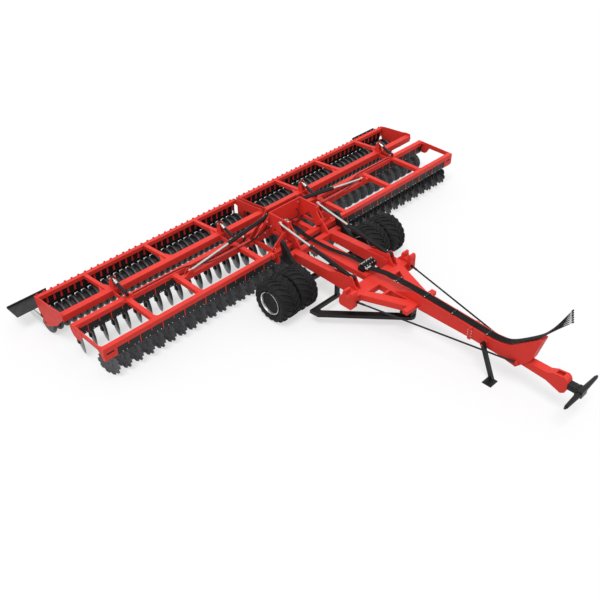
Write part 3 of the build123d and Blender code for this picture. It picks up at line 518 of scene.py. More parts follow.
def notched_rim(turn):
    """The rim's share of the full radius at a turn: wide teeth with round notches between them."""
    off_tooth = 2.0 * abs((turn * LOBES / (2 * math.pi)) % 1.0 - 0.5)
    return 1.0 - (1.0 - NOTCH_FLOOR) * ramp(off_tooth, 0.52, 0.82) ** 0.8


def disc_template(notched):
    """Corners and faces of one disc about its own Z, hollow face up, with its middle at the back."""
    steps = 80 if notched else 48
    shares = (0.2, 0.36, 0.4, 0.55, 0.7, 0.82, 0.92, 0.965, 1.0)
    corners = []
    for hollow_face, order in ((True, shares[::-1]), (False, shares)):
        for share in order:
            height = -DISC_DEPTH * (1.0 - ramp(share, FLAT_TO, 1.0) ** 1.6)
            if hollow_face:
                height += DISC_EDGE + DISC_SWELL * (1.0 - ramp(share, GROUND_FROM, 1.0))
            for k in range(steps):
                turn = 2 * math.pi * k / steps
                rim = notched_rim(turn) if notched else 1.0
                radius = DISC_R * share * (1.0 - (1.0 - rim) * ramp(share, NOTCHED_FROM, 1.0))
                corners.append((radius * math.cos(turn), radius * math.sin(turn), height))
    sheet, behind = ring_faces(len(shares), steps), len(shares) * steps
    faces = sheet + [tuple(behind + corner for corner in face) for face in sheet]
    faces += [tuple(range(behind - steps, behind)), tuple(range(behind, behind + steps))[::-1]]
    return np.array(corners), faces


NOTCHED, PLAIN = disc_template(True), disc_template(False)
print("notched disc", len(NOTCHED[1]), "faces, plain disc", len(PLAIN[1]))

# %% [markdown]
# ## The steel of the discs
#
# New discs are dark from their heat treatment, and their hollow faces carry
# fine rings from pressing. The plain discs of the rear row are brighter,
# because they come polished. The grind along the rim is bright on both. The
# rings are a noise read across the disc only, at the stored distance from
# the disc's middle.

# %% Disc finishes
GRIND_WIDTH, GRIND_SHARE, PALE_RINGS = 0.006, 0.8, 2.4
GROUND_STEEL, DISC_PAINTED_SHADE = (0.55, 0.56, 0.56), (0.012, 0.012, 0.013)


def disc_steel(name, dark, light, roughness, bright_from):
    """Pressed steel with fine rings, a ground rim and painted shade where neighbours close it in."""
    material, tree, shader = new_finish(name, roughness, 0.85)
    local = tree.nodes.new("ShaderNodeAttribute")
    local.attribute_name = "on_disc"
    length = tree.nodes.new("ShaderNodeVectorMath")
    length.operation = "LENGTH"
    tree.links.new(local.outputs["Vector"], length.inputs[0])
    radius = length.outputs["Value"]
    place = tree.nodes.new("ShaderNodeCombineXYZ")
    tree.links.new(radius, place.inputs["X"])
    rings = noise(tree, 420.0, 2.0, place=place.outputs["Vector"])
    shade = mixed(tree, clouds(tree, 14.0, 5.0), dark, light)
    shade = mixed(tree, stretched(tree, rings, 0.45, 0.8, 0.0, 0.5), shade,
                  tuple(PALE_RINGS * part for part in light))
    # Painted shade: the steel goes nearly black where discs, hubs and housings close it in.
    shade = mixed(tree, painted_corner_shade(tree, 0.25, 0.85), shade, DISC_PAINTED_SHADE)
    ground = stretched(tree, radius, bright_from, bright_from + GRIND_WIDTH, 0.0, GRIND_SHARE)
    tree.links.new(mixed(tree, ground, shade, GROUND_STEEL), shader.inputs["Base Color"])
    drifting_gloss(tree, shader, roughness, 0.06, 0.1, 30.0)
    rough_surface(tree, shader, rings, 0.0002)
    return material


NOTCHED_STEEL = disc_steel("notched_disc_steel", dark=(0.060, 0.061, 0.065), light=(0.105, 0.106, 0.112),
                           roughness=0.46, bright_from=0.2985)
PLAIN_STEEL = disc_steel("plain_disc_steel", dark=(0.085, 0.087, 0.092), light=(0.17, 0.172, 0.178),
                         roughness=0.34, bright_from=0.294)
print("disc finishes:", NOTCHED_STEEL.name, PLAIN_STEEL.name)

# %% [markdown]
# ## Setting up the rows of discs
#
# A disc's own axes are turned to its angle and moved to its place, as they
# are in the CAD model, so each new disc covers the faceted one that it
# replaces. The whole row is one piece. Its hubs get a round bearing cap
# and four bolts each, because the caps catch the light beside every disc.

# %% A disc's place and its bolts
def disc_axes(x, back, row):
    """The matrix from a disc's own corners to the machine."""
    out = math.copysign(1.0, x) if row == "front" else -math.copysign(1.0, x)
    face = Vector((out * math.cos(DISC_ANGLE), -math.sin(DISC_ANGLE), 0.0))
    turn = Matrix((UP, face.cross(UP), face)).transposed().to_4x4()
    return Matrix.Translation(at(x, back, DISC_AXIS_UP)) @ turn


def bolt(shape, place, direction, width):
    """A washer, a hexagon head and the end of the thread."""
    turned(shape, place, direction, [(-0.001, width * 0.75), (width * 0.12, width * 0.75)], 12)
    turned(shape, place, direction, [(width * 0.1, width * 0.5), (width * 0.48, width * 0.56),
                                     (width * 0.56, width * 0.46)], 6)
    turned(shape, place, direction, [(width * 0.5, width * 0.26), (width * 0.78, width * 0.24)], 8)


print("each disc stands at", round(math.degrees(DISC_ANGLE)), "degrees")

# %% Rows of discs
FIRST_CENTRE_DISC, FIRST_WING_DISC = 0.150, 1.290
HUB_CAP = ((-0.004, 0.066), (0.008, 0.066), (0.012, 0.058), (0.030, 0.050), (0.036, 0.036))  # along, radius
HUB_BOLT_CIRCLE, HUB_BOLT = 0.085, 0.016


def disc_row(name, xs, back, row, body, node):
    """One piece with a disc at every x, and one with the hub caps and their bolts."""
    corners, faces = NOTCHED if row == "front" else PLAIN
    shape, caps = Shape(), Shape()
    for x in xs:
        matrix = disc_axes(x, back, row)
        axes, turn = np.array(matrix), matrix.to_3x3()
        shape.add(corners @ axes[:3, :3].T + axes[:3, 3], faces)
        axis, middle = (turn @ -UP).normalized(), matrix @ (-UP * DISC_DEPTH)
        turned(caps, middle, axis, HUB_CAP)
        for k in range(4):
            spin = Matrix.Rotation(math.pi / 4 + k * math.pi / 2, 3, axis)
            hole = middle + spin @ turn @ (ACROSS * HUB_BOLT_CIRCLE)
            bolt(caps, hole + axis * 0.001, axis, HUB_BOLT)
            bolt(caps, hole - axis * (DISC_STEEL + 0.0006), -axis, HUB_BOLT)
    steel = NOTCHED_STEEL if row == "front" else PLAIN_STEEL
    item = piece(shape, name, steel, body, replaces=(node,))
    local = item.data.attributes.new("on_disc", "FLOAT_VECTOR", "POINT")
    flat = corners * np.array([1.0, 1.0, 0.0])
    local.data.foreach_set("vector", np.tile(flat, (len(xs), 1)).astype(np.float32).ravel())
    piece(caps, f"{name}_hubs", BLACK, body)


CENTRE_DISCS = [sign * (FIRST_CENTRE_DISC + DISC_PITCH * k) for sign in (-1, 1) for k in range(4)]
WING_DISCS = [FIRST_WING_DISC + DISC_PITCH * k for k in range(16)]
disc_row("centre_front_row", CENTRE_DISCS, FRONT_ROW, "front", "toolbar", "centre_front_discs")
disc_row("centre_rear_row", CENTRE_DISCS, CENTRE_REAR_ROW, "rear", "toolbar", "centre_rear_discs")
for side, sign in SIDES.items():
    xs = [sign * x for x in WING_DISCS]
    disc_row(f"{side}_front_row", xs, FRONT_ROW, "front", f"{side}_wing", f"{side}_front_discs")
    disc_row(f"{side}_rear_row", xs, REAR_ROW, "rear", f"{side}_wing", f"{side}_rear_discs")

# %% [markdown]
# ## The ring roller
#
# The packer is a steel drum with rings shrunk on, one for every scraper gap.
# In use the rings press the furrows shut. Their outer faces are rolled round
# and get polished by the soil, while the drum between them stays dark. Each
# ring is a rounded profile spun round the roller's axle.

# %% Roller finish
ROLLER_BACK, ROLLER_R = 2.440, 0.300
ROLLER_DARK, ROLLER_SECOND = (0.016, 0.017, 0.018), (0.026, 0.027, 0.029)
ROLLER_RUBBED = (0.085, 0.088, 0.092)


def roller_steel():
    """Dark painted steel, rubbed bright where the rings carry the machine."""
    material, tree, shader = new_finish("roller_steel", 0.4, 0.35)
    place = tree.nodes.new("ShaderNodeTexCoord").outputs["Object"]
    away = tree.nodes.new("ShaderNodeVectorMath")
    away.operation = "SUBTRACT"
    away.inputs[1].default_value = at(0.0, ROLLER_BACK, ROLLER_R)
    tree.links.new(place, away.inputs[0])
    split = tree.nodes.new("ShaderNodeSeparateXYZ")
    tree.links.new(away.outputs["Vector"], split.inputs["Vector"])
    squares = [calculated(tree, "MULTIPLY", split.outputs[axis], split.outputs[axis]) for axis in "YZ"]
    radius = calculated(tree, "SQRT", calculated(tree, "ADD", *squares))
    rubbed = calculated(tree, "MULTIPLY", stretched(tree, radius, 0.285, 0.2995),
                        clouds(tree, 26.0, 6.0, 0.3, 0.6, 0.25, 1.0))
    shade = mixed(tree, clouds(tree, 5.0, low=0.35, high=0.65), ROLLER_DARK, ROLLER_SECOND)
    tree.links.new(mixed(tree, rubbed, shade, ROLLER_RUBBED), shader.inputs["Base Color"])
    drifting_gloss(tree, shader, 0.4, 0.1, 0.08, 18.0)
    rough_surface(tree, shader, noise(tree, 120.0, 4.0), 0.0004)
    return material


ROLLER_STEEL = roller_steel()
print("roller finish:", ROLLER_STEEL.name)

# %% Roller
DRUM_R, DRUM_START, DRUM_GAP, AXLE_R = 0.245, 0.090, 0.036, 0.035
RING_FIRST, RING_PITCH, RING_HALF = 0.160, 0.180, 0.042
RINGS = [RING_FIRST + RING_PITCH * k for k in range(33)]
RING_FOOT, RING_TOP = DRUM_R - 0.008, ROLLER_R - 0.001
RING_PROFILE = [(0.98 * RING_HALF * math.cos(turn),
                 RING_FOOT + (RING_TOP - RING_FOOT) * max(0.0, math.sin(turn)) ** 0.55)
                for turn in np.linspace(math.pi, 0.0, 13)]

for side, sign in SIDES.items():
    shape = Shape()
    for x in RINGS:
        turned(shape, at(sign * x, ROLLER_BACK, ROLLER_R), ACROSS, RING_PROFILE, 60)
    start, end = sorted((sign * DRUM_START, sign * (HALF_WIDTH - DRUM_GAP)))
    turned(shape, at(start, ROLLER_BACK, ROLLER_R), ACROSS,
           drum(end - start, DRUM_R - 0.001, DRUM_R - 0.012, DRUM_R - 0.012, 0.008), 60)
    low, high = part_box(f"{side}_roller")
    turned(shape, at(low.x, ROLLER_BACK, ROLLER_R), ACROSS,
           drum(high.x - low.x, AXLE_R, AXLE_R - 0.006, AXLE_R - 0.006, 0.006), 24)
    piece(shape, f"{side}_ring_roller", ROLLER_STEEL, f"{side}_roller",
          replaces=(f"{side}_roller",))

# %% [markdown]
# ## Tyres
#
# Flotation tyres are wide and soft so that the machine doesn't sink in. Their
# tread is two rows of long curved lugs that meet in a V at the middle. The
# carcass is a spun profile: rim bead, bulging wall, shoulder and nearly flat
# crown. Every lug is a bar bent along the crown, higher at its middle than at
# its skirt, where it runs down over the shoulder. The spun profile ends in
# two flat faces, which close the tyre's bore in front of the rim's disc.

# %% Tyre shape
AXLE_BACK, TYRE_R, TYRE_WIDE, RIM_R, TWIN_GAP = -0.902, 0.535, 0.545, 0.294, 0.036
TYRE_STARTS = {"inner": 1.046, "outer": 1.046 + TYRE_WIDE + TWIN_GAP}
LUGS, LUG_HIGH, LUG_SUNK = 20, 0.032, 0.004
CROWN_R = TYRE_R - LUG_HIGH
WALL = ((-1.0, 0.44), (-1.0, 0.40), (-0.985, 0.36), (-0.94, 0.325), (-0.86, 0.305), (-0.80, RIM_R),
        (-0.78, 0.27))  # share of half the width, radius


def crown(reach):
    """The carcass radius at a distance from the tyre's middle, as a share of half its width."""
    return CROWN_R - 0.004 * reach ** 2 - 0.055 * ramp(abs(reach), 0.7, 1.0) ** 1.4


def lug(shape, middle, hand, turn):
    """One curved bar from the tyre's middle to its shoulder."""
    corners, steps = [], 9
    for i in range(steps):
        share = i / (steps - 1)
        reach = hand * (0.03 + 0.95 * share)
        sweep = turn - 0.30 * (1.0 - share) ** 1.5 + 0.02 * share
        foot = 0.028 + 0.012 * share
        top = 0.72 * foot
        ground = crown(reach) - LUG_SUNK
        height = LUG_HIGH + LUG_SUNK - 0.010 * ramp(share, 0.75, 1.0)
        tread = min(TYRE_R - 0.001, ground + height)
        for radius, aside in ((ground, foot), (tread, top), (tread, -top), (ground, -foot)):
            angle = sweep + aside / CROWN_R
            corners.append(middle + Vector((reach * TYRE_WIDE / 2, radius * math.sin(angle),
                                            radius * math.cos(angle))))
    shape.add(corners, ring_faces(steps, 4) + end_faces(steps, 4))


def tyre_shape(start, sign):
    """The carcass and the lugs of one tyre."""
    middle, half = at(sign * (start + TYRE_WIDE / 2), AXLE_BACK, TYRE_R), TYRE_WIDE / 2
    wall = [(reach * half, radius) for reach, radius in WALL]
    tread = [(reach * half, crown(reach)) for reach in np.linspace(-0.98, 0.98, 21)]
    shape = Shape()
    turned(shape, middle, ACROSS, wall[::-1] + tread + [(-reach, radius) for reach, radius in wall], 96)
    for hand, stagger in ((-1, 0.0), (1, 0.5)):
        for k in range(LUGS):
            lug(shape, middle, hand, 2 * math.pi * (k + stagger) / LUGS)
    return shape


print("crown radius", round(CROWN_R, 3))

# %% [markdown]
# ## Rubber
#
# Tyre rubber is a very dark grey rather than black. Moulding leaves it
# slightly mottled, dust lies on it in patches, the corners between the lugs
# get a painted shade, and the edges of the lugs are a shade lighter. Hose
# rubber is the same idea on a finer scale.

# %% Rubber finishes
RUBBER_SHINE, RUBBER_DUST = 0.16, (0.12, 0.11, 0.10)
RUBBER_PAINTED_SHADE, RUBBER_EDGE = (0.004, 0.004, 0.004), (0.05, 0.05, 0.051)


def rubber(name, dark, light, roughness, grain, depth, dusty):
    """Moulded rubber with a fine grain, a film of dust and painted shade in its corners."""
    material, tree, shader = new_finish(name, roughness)
    shader.inputs["Specular IOR Level"].default_value = RUBBER_SHINE
    shade = mixed(tree, clouds(tree, 7.0, 5.0), dark, light)
    shade = mixed(tree, clouds(tree, 3.0, 6.0, 0.5, 0.8, 0.0, dusty), shade, RUBBER_DUST)
    # Painted shade: corners that neighbours close in, such as those between the lugs, go darker.
    shade = mixed(tree, painted_corner_shade(tree, 0.12, 0.7), shade, RUBBER_PAINTED_SHADE)
    shade = mixed(tree, near_edges(tree, 0.008, 0.5), shade, RUBBER_EDGE)
    tree.links.new(shade, shader.inputs["Base Color"])
    drifting_gloss(tree, shader, roughness, 0.08, 0.08, 12.0, 4.0)
    rough_surface(tree, shader, noise(tree, grain, 3.0), depth)
    return material


TYRE_RUBBER = rubber("tyre_rubber", dark=(0.0115, 0.0115, 0.0122), light=(0.018, 0.018, 0.019),
                     roughness=0.66, grain=160.0, depth=0.0006, dusty=0.07)
HOSE_RUBBER = rubber("hose_rubber", dark=(0.010, 0.010, 0.011), light=(0.016, 0.016, 0.017),
                     roughness=0.42, grain=420.0, depth=0.0003, dusty=0.08)
for side, sign in SIDES.items():
    for place, start in TYRE_STARTS.items():
        piece(tyre_shape(start, sign), f"{side}_{place}_flotation_tyre", TYRE_RUBBER, f"{side}_wheels",
              replaces=(f"{side}_{place}_tyre",))

# %% [markdown]
# ## Rims
#
# A rim is rolled from sheet: a round lip at each edge, a well, and a dished
# disc welded inside it, bolted to the hub with ten nuts. The silver lacquer
# is so full of metal that it reflects like plating, with cloudy patches.
# Lip, well and disc are one closed profile, spun round the axle. The profile
# is put together from three short tables, because both lips are alike.

# %% Rim profile
LIP = ((0.002, 0.291), (0.000, 0.284), (0.006, 0.276), (0.030, 0.268), (0.090, 0.262))
BEAD_SEAT = ((0.040, 0.289), (0.010, 0.2935))  # both: from the edge, radius
DISH = ((-0.030, 0.262), (-0.072, 0.130), (-0.080, 0.100), (-0.080, 0.020), (-0.060, 0.020),
        (-0.060, 0.100), (-0.052, 0.135), (-0.004, 0.258), (0.012, 0.262))  # from the web, radius
RIM_WIDE, NUT_FACE, RIM_SIDES = TYRE_WIDE - 0.002, 0.060, 64
WEBS = {"inner": 0.62 * TYRE_WIDE, "outer": 0.80 * TYRE_WIDE}
RIM_PAINT = plated("silver_rim", colour=(0.84, 0.85, 0.85), second=(0.70, 0.71, 0.71), roughness=0.30,
                   spots=7.0)


def rim_shape(shape, start, sign, web):
    """One rim with its dished disc. Gives the middle of the face that the nuts sit on."""
    inner_edge = at(sign * start, AXLE_BACK, TYRE_R)
    profile = [*LIP, *((web + step, radius) for step, radius in DISH),
               *((RIM_WIDE - step, radius) for step, radius in LIP[::-1] + BEAD_SEAT[::-1]), *BEAD_SEAT]
    turns = [2 * math.pi * k / RIM_SIDES for k in range(RIM_SIDES)]
    corners = [inner_edge + Vector((sign * reach, radius * math.sin(turn), radius * math.cos(turn)))
               for reach, radius in profile for turn in turns]
    shape.add(corners, ring_faces(len(profile), RIM_SIDES, closed=True))
    return inner_edge + ACROSS * sign * (web - NUT_FACE)


print("rim", round(RIM_WIDE, 3), "m wide")

# %% Rims
NUTS, NUT_CIRCLE, NUT = 10, 0.085, 0.026
HUB_PROFILE = ((0, 0.060), (0.075, 0.060), (0.090, 0.052), (0.095, 0.030))  # along, radius
HUB_BEHIND, TUBE_R = 0.03, 0.056

for side, sign in SIDES.items():
    shape, nuts = Shape(), Shape()
    outward = ACROSS * sign
    for place, web in WEBS.items():
        face = rim_shape(shape, TYRE_STARTS[place], sign, web)
        for k in range(NUTS):
            turn = 2 * math.pi * k / NUTS
            bolt(nuts, face + Vector((0, math.sin(turn), math.cos(turn))) * NUT_CIRCLE, outward, NUT)
        turned(shape, face - outward * HUB_BEHIND, outward, HUB_PROFILE, 24)
    start, end = sorted((sign * (TYRE_STARTS["inner"] + 0.040), sign * (TYRE_STARTS["outer"] + 0.2)))
    turned(shape, at(start, AXLE_BACK, TYRE_R), ACROSS, [(0, TUBE_R), (end - start, TUBE_R)], 24)
    piece(shape, f"{side}_silver_rims", RIM_PAINT, f"{side}_wheels", replaces=(f"{side}_rims",))
    piece(nuts, f"{side}_wheel_nuts", ZINC, f"{side}_wheels")

# %% [markdown]
# ## Hoses
#
# Every hydraulic hose is a tube along a smooth curve. A NURBS curve suits
# it: a few control points, one at each bend, give the gentle line that a
# stiff hose takes, and the curve's own round bevel gives its thickness. The
# six supply hoses leave the valves, lie along the drawbar and rise at its
# head to the tractor. Each ends in a steel ferrule and a coupling.

# %% Making a hose
HOSE_R, THIN_HOSE_R = 0.011, 0.010


def route(places, sign=1, shift=0.0, drop=0.0):
    """The bends of a hose, from places (across, back, up) on its own side of the machine."""
    return [at(sign * x + shift, back, up - drop) for x, back, up in places]


def hose_curve(name, runs, radius):
    """A smooth tube through the bends of each run."""
    data = bpy.data.curves.new(name, "CURVE")
    data.dimensions = "3D"
    data.bevel_depth, data.bevel_resolution, data.resolution_u = radius, 3, 6
    data.use_fill_caps = True
    for run in runs:
        spline = data.splines.new("NURBS")
        spline.points.add(len(run) - 1)
        for point, place in zip(spline.points, run):
            point.co = (*place, 1.0)
        spline.order_u, spline.use_endpoint_u = 3, True
    data.materials.append(HOSE_RUBBER)
    return in_scene(name, data)


def hose(name, runs, radius, body, node=None):
    """Hoses that ride on one body."""
    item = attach(hose_curve(name, runs, radius), body)
    if node:
        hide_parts(node)
    print(f"{name}: {len(runs)} hoses")


print("hoses", 2 * HOSE_R, "m thick")

# %% Hoses that stay on one body
SUPPLY_X = (-0.085, -0.055, -0.025, 0.005, 0.035, 0.065)
DRAWBAR_LINE = ((-1.962, 0.990), (-2.240, 1.050), (-2.500, 1.105), (-2.900, 1.112), (-3.385, 1.118),
                (-4.400, 1.052), (-5.450, 0.989), (-5.700, 1.012), (-5.930, 1.095), (-6.440, 1.530),
                (-6.590, 1.720))  # back, up
HOSE_FAN = ((-6.760, 0.2, 1.990, 0.2), (-6.990, 0.8, 2.400, 0.9))  # back, its spread, up, its spread
supply_runs = [[at(x, back, up) for back, up in DRAWBAR_LINE]
               + [at(x, back + lean * x, up + rise * x) for back, lean, up, rise in HOSE_FAN]
               for x in SUPPLY_X]
hose("drawbar_hoses", supply_runs, HOSE_R, "chassis", "supply_hoses")

VALVE_HOSES = (-0.045, -0.015, 0.015, 0.045)
SPINE_LINE = ((-0.070, -0.420, 0.985), (-0.034, -0.760, 0.962), (-0.010, -0.960, 0.966),
              (0.058, -1.380, 0.985), (0.060, -1.560, 0.988), (0.060, -1.799, 0.990))  # aside, back, up
valve_runs = [route(SPINE_LINE, shift=x) for x in VALVE_HOSES]
hose("spine_hoses", valve_runs, HOSE_R, "chassis", "chassis_hoses")

BOOM_LINE = ((1.330, 0.784, 0.984), (1.700, 0.784, 0.984), (2.120, 0.784, 0.984), (2.480, 0.814, 0.990),
             (2.760, 0.990, 1.000), (3.060, 1.118, 0.997), (3.700, 1.120, 0.995), (4.460, 1.120, 0.995))
for side, sign in SIDES.items():
    hose(f"{side}_boom_hose", [route(BOOM_LINE, sign)], THIN_HOSE_R, f"{side}_wing", f"{side}_wing_hose")

# %% [markdown]
# ## Hoses that cross a joint
#
# Two bundles have to bend when the machine folds: one from the toolbar's
# tower down to the chassis, and one from the tower out to each wing. A hose
# like that has to be one mesh, so its curve is turned into a mesh.

# %% Hoses from the tower to the chassis
TOWER_LINE = ((-0.070, -0.419, 0.985), (-0.076, -0.250, 0.990), (-0.060, 0.060, 1.006),
              (-0.030, 0.300, 1.024), (-0.015, 0.500, 1.034), (-0.010, 0.650, 1.040))  # aside, back, up


def bending_hose(name, runs, radius):
    """Hoses turned from their curves into one mesh, in the machine's own place."""
    curve = hose_curve(name + "_line", runs, radius)
    bpy.context.view_layer.update()
    mesh = bpy.data.meshes.new_from_object(curve.evaluated_get(bpy.context.evaluated_depsgraph_get()))
    bpy.data.objects.remove(curve)
    mesh.name = name
    item = in_scene(name, mesh)
    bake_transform(item)
    print(f"{name}: {len(mesh.polygons)} faces")


tower_runs = [route(TOWER_LINE, shift=x) for x in VALVE_HOSES]
bending_hose("tower_hoses", tower_runs, HOSE_R)

# %% Loops inside the tower
VALVE_LOOP = ((0.400, 0.775, 1.230), (0.405, 0.700, 1.225), (0.345, 0.655, 1.120), (0.200, 0.660, 1.065),
              (0.045, 0.715, 1.075))  # across, back, up
tower_loops = [route(VALVE_LOOP)]
for sign in (-1, 1):
    for step in (0.0, 0.026):
        tower_loops.append(route(((0.508, 0.700 - step, 1.010 + step), (0.420, 0.665 - step, 1.000 + step),
                                  (0.300, 0.600 - step, 1.006 + step), (0.160, 0.600 - step, 1.016),
                                  (0.060 + step, 0.665, 1.020 + step)), sign))
hose("tower_loops", tower_loops, HOSE_R, "toolbar")

# %% Hoses over the wing hinges
HINGE_LINE = ((0.548, 0.700, 1.180), (0.640, 0.690, 1.200), (0.800, 0.705, 1.150), (0.960, 0.735, 1.075),
              (1.080, 0.755, 1.030), (1.200, 0.775, 1.000), (1.331, 0.784, 0.984))  # across, back, up
HINGE_DROPS = (0.0, 0.022)

for side, sign in SIDES.items():
    runs = [route(HINGE_LINE, sign, drop=drop) for drop in HINGE_DROPS]
    bending_hose(f"{side}_hinge_hoses", runs, THIN_HOSE_R)

# %% [markdown]
# ## Ferrules, couplings and valve fittings
#
# Where a hose ends there is always bright metal: a crimped ferrule, a
# hexagon nut and either a fitting in the valve or a quick coupling with a
# dust cap for the tractor. They are small, but in a picture of the whole
# machine they are what shows where the hydraulics are.

# %% Fittings on the chassis
def fitting(shape, place, direction, radius):
    """A crimped ferrule with a hexagon nut at its end."""
    ferrule = ((-0.001, 1.15), (0.004, 1.4), (0.012, 1.3), (0.016, 1.45), (0.026, 1.3), (0.030, 1.45),
               (0.042, 1.35), (0.046, 1.1))  # along, share of the hose's radius
    nut = ((0.045, 1.55), (0.050, 1.75), (0.066, 1.75), (0.071, 1.55))
    turned(shape, place, direction, [(along, radius * share) for along, share in ferrule], 14)
    turned(shape, place, direction, [(along, radius * share) for along, share in nut], 6)


COUPLING = ((0, 0.015), (0.004, 0.017), (0.040, 0.017), (0.046, 0.013))  # along, radius
ADAPTER = ((0, 0.015), (0.006, 0.018), (0.016, 0.018), (0.020, 0.012), (0.034, 0.012), (0.036, 0.009))
PLUG = ((-0.001, 0.013), (0.012, 0.015), (0.024, 0.015), (0.028, 0.010))
SPOOLS = [-0.080 + 0.085 * k for k in range(5)]
VALVE_TOP, PLUG_UP, VALVE_FRONT, VALVE_REAR = 1.049, 1.028, -1.940, -1.820
SMALL_FITTING = 0.95 * HOSE_R

metal, caps = Shape(), Shape()
for x, run in zip(SUPPLY_X, supply_runs):
    direction = (run[-1] - run[-2]).normalized()
    fitting(metal, run[-1] - direction * 0.115, direction, HOSE_R)
    turned(caps, run[-1] - direction * 0.048, direction, COUPLING, 16)
    fitting(metal, at(x, -2.035, 1.001), Vector((0, 1, -0.15)), SMALL_FITTING)
for x in VALVE_HOSES:
    fitting(metal, at(x + 0.060, -1.875, 0.990), BACKWARD, SMALL_FITTING)
for x in SPOOLS:
    turned(caps, at(x, -1.908, VALVE_TOP), UP, drum(0.030, 0.022, 0.020, 0.018, 0.004), 18)
    turned(metal, at(x, -1.848, VALVE_TOP), UP, ADAPTER, 6)
    turned(metal, at(x, VALVE_FRONT, PLUG_UP), FORWARD, PLUG, 6)
    turned(metal, at(x, VALVE_REAR, PLUG_UP), BACKWARD, PLUG, 6)
piece(metal, "valve_and_hose_fittings", ZINC, "chassis")
piece(caps, "coupling_caps_and_coils", BLACK, "chassis")

# %% Fittings in the tower
TOWER_VALVE = ((-0.080, 0.686, 1.005), (0.050, 0.775, 1.090))  # two opposite corners

metal = Shape()
for x in VALVE_HOSES:
    fitting(metal, at(x - 0.010, 0.618, 1.038), Vector((0, 1, 0.04)), HOSE_R)
for side, sign in SIDES.items():
    for drop in HINGE_DROPS:
        fitting(metal, at(sign * 0.610, 0.694, 1.196 - drop), Vector((-sign, 0.08, -0.15)), THIN_HOSE_R)
block(metal, at(*TOWER_VALVE[0]), at(*TOWER_VALVE[1]))
turned(metal, at(-0.045, 0.730, 1.089), UP, drum(0.056, 0.030, 0.024, 0.022, 0.006), 18)
turned(metal, at(0.018, 0.730, 1.089), UP, drum(0.032, 0.022, 0.018, 0.014, 0.004), 6)
piece(metal, "tower_fittings", ZINC, "toolbar", rounded=0.002)

# %% [markdown]
# ## Depth cylinders
#
# Four cylinders lift the wings onto the roller and so set how deep the discs
# work. Between barrel and eye the rod carries loose clips: each one folded in
# makes the harrow run one step shallower. The barrel is a turned tube with a
# stepped gland, the eyes are short tubes across it, and each pin has a round
# washer at both ends.

# %% Depth cylinders
DEPTH_LOW, DEPTH_HIGH, DEPTH_X = (1.120, 1.050), (1.620, 1.250), (1.430, 4.600)
EYE_HALF, EYE_R, ROD_R, WASHER_OUT = 0.0358, 0.0338, 0.0215, 0.0715
BARREL = ((0.024, 0.030), (0.034, 0.0415), (0.296, 0.0415), (0.300, 0.0395), (0.336, 0.0395),
          (0.340, 0.034))
WASHER = ((0, 0.023), (0.006, 0.024), (0.008, 0.022), (0.009, 0.015), (0.015, 0.013))  # along, radius
CLIPS_FROM = (0.350, 0.385, 0.420)

for side, sign in SIDES.items():
    dark, bright, clips = Shape(), Shape(), Shape()
    for x in DEPTH_X:
        low, high = at(sign * x, *DEPTH_LOW), at(sign * x, *DEPTH_HIGH)
        along, reach = (high - low).normalized(), (high - low).length
        turned(dark, low, along, BARREL, 28)
        turned(bright, low, along, [(0.335, ROD_R), (reach - 0.020, ROD_R)], 24)
        for start in CLIPS_FROM:
            turned(clips, low + along * start, along, drum(0.028, 0.0355, 0.031, 0.031, 0.002), 24)
        for middle in (low, high):
            turned(dark, middle - ACROSS * EYE_HALF, ACROSS,
                   drum(2 * EYE_HALF, EYE_R, EYE_R - 0.004, EYE_R - 0.004, 0.004), 24)
            for outward in (-ACROSS, ACROSS):
                turned(bright, middle + outward * WASHER_OUT, outward, WASHER, 16)
    wing = f"{side}_wing"
    piece(dark, f"{side}_depth_barrels", BLACK, wing, replaces=(f"{side}_depth_cylinders",))
    piece(bright, f"{side}_depth_rods", CHROME, wing)
    piece(clips, f"{side}_depth_clips", ZINC, wing)

# %% [markdown]
# ## Edge boards
#
# A flat board at each end of the roller keeps the soil that the last disc
# throws from making a ridge. It is a dark rubber-like sheet with a lip, dusty
# in patches and paler where its edges have been rubbed.

# %% Edge boards
BOARD = rubber("board_sheet", dark=(0.034, 0.033, 0.034), light=(0.050, 0.048, 0.048), roughness=0.6,
               grain=60.0, depth=0.0006, dusty=0.3)
for side in SIDES:
    dress(f"{side}_edge_board", BOARD)
print("edge boards:", BOARD.name)

# %% [markdown]
# ## Bolts and pin heads
#
# Everything on this machine is bolted or pinned, and the plated heads are the
# small bright dots that give it its scale. Each group follows what it holds:
# the torsion housings of the discs, the scraper plates, and the pins of the
# cylinders. A group is one piece, however many bolts it has.
# The scrapers also get their hard-faced tips here, the thin edges that run
# close to the rings and the drum.

# %% Where the housings' bolts are
HOUSING_FACES = ((0.0075, 0.668), (1.0775, 0.678))  # back, up
HOUSING_STEP, HOUSING_BOLT = 0.052, 0.013


def housing_bolts(shape, xs):
    """Two bolts in the front face of both housings at every x."""
    for x in xs:
        for step in (-HOUSING_STEP, HOUSING_STEP):
            for back, up in HOUSING_FACES:
                bolt(shape, at(x + step, back, up), FORWARD, HOUSING_BOLT)


print(2 * len(HOUSING_FACES), "bolts at every x")

# %% Bolts and tips of the scrapers
SCRAPER_XS = [RING_FIRST + RING_PITCH * (k + 0.5) for k in range(len(RINGS) - 1)]
PLATE_FRONT, PLATE_REAR, SKIN = 2.651, 2.663, 0.0015
TIP_HALF, TIP_LOW, TIP_HIGH = 0.043, 0.440, 0.471
LEDGE_HALF, LEDGE_LOW, LEDGE_HIGH = 0.0895, 0.521, 0.608
STRIPS, STRIP_WIDE, STRIP_LOW, STRIP_HIGH = (-0.066, 0.0515), 0.0145, 0.600, 0.799
END_PLATE_X, END_PLATE_LOW, END_PLATE_HIGH = (0.080, 0.120), 0.500, 0.801
PLATE_BOLT_STEP, PLATE_BOLT_UP, HOLDER_REAR, HOLDER_BOLT_UP = 0.028, 0.585, 2.735, 0.858


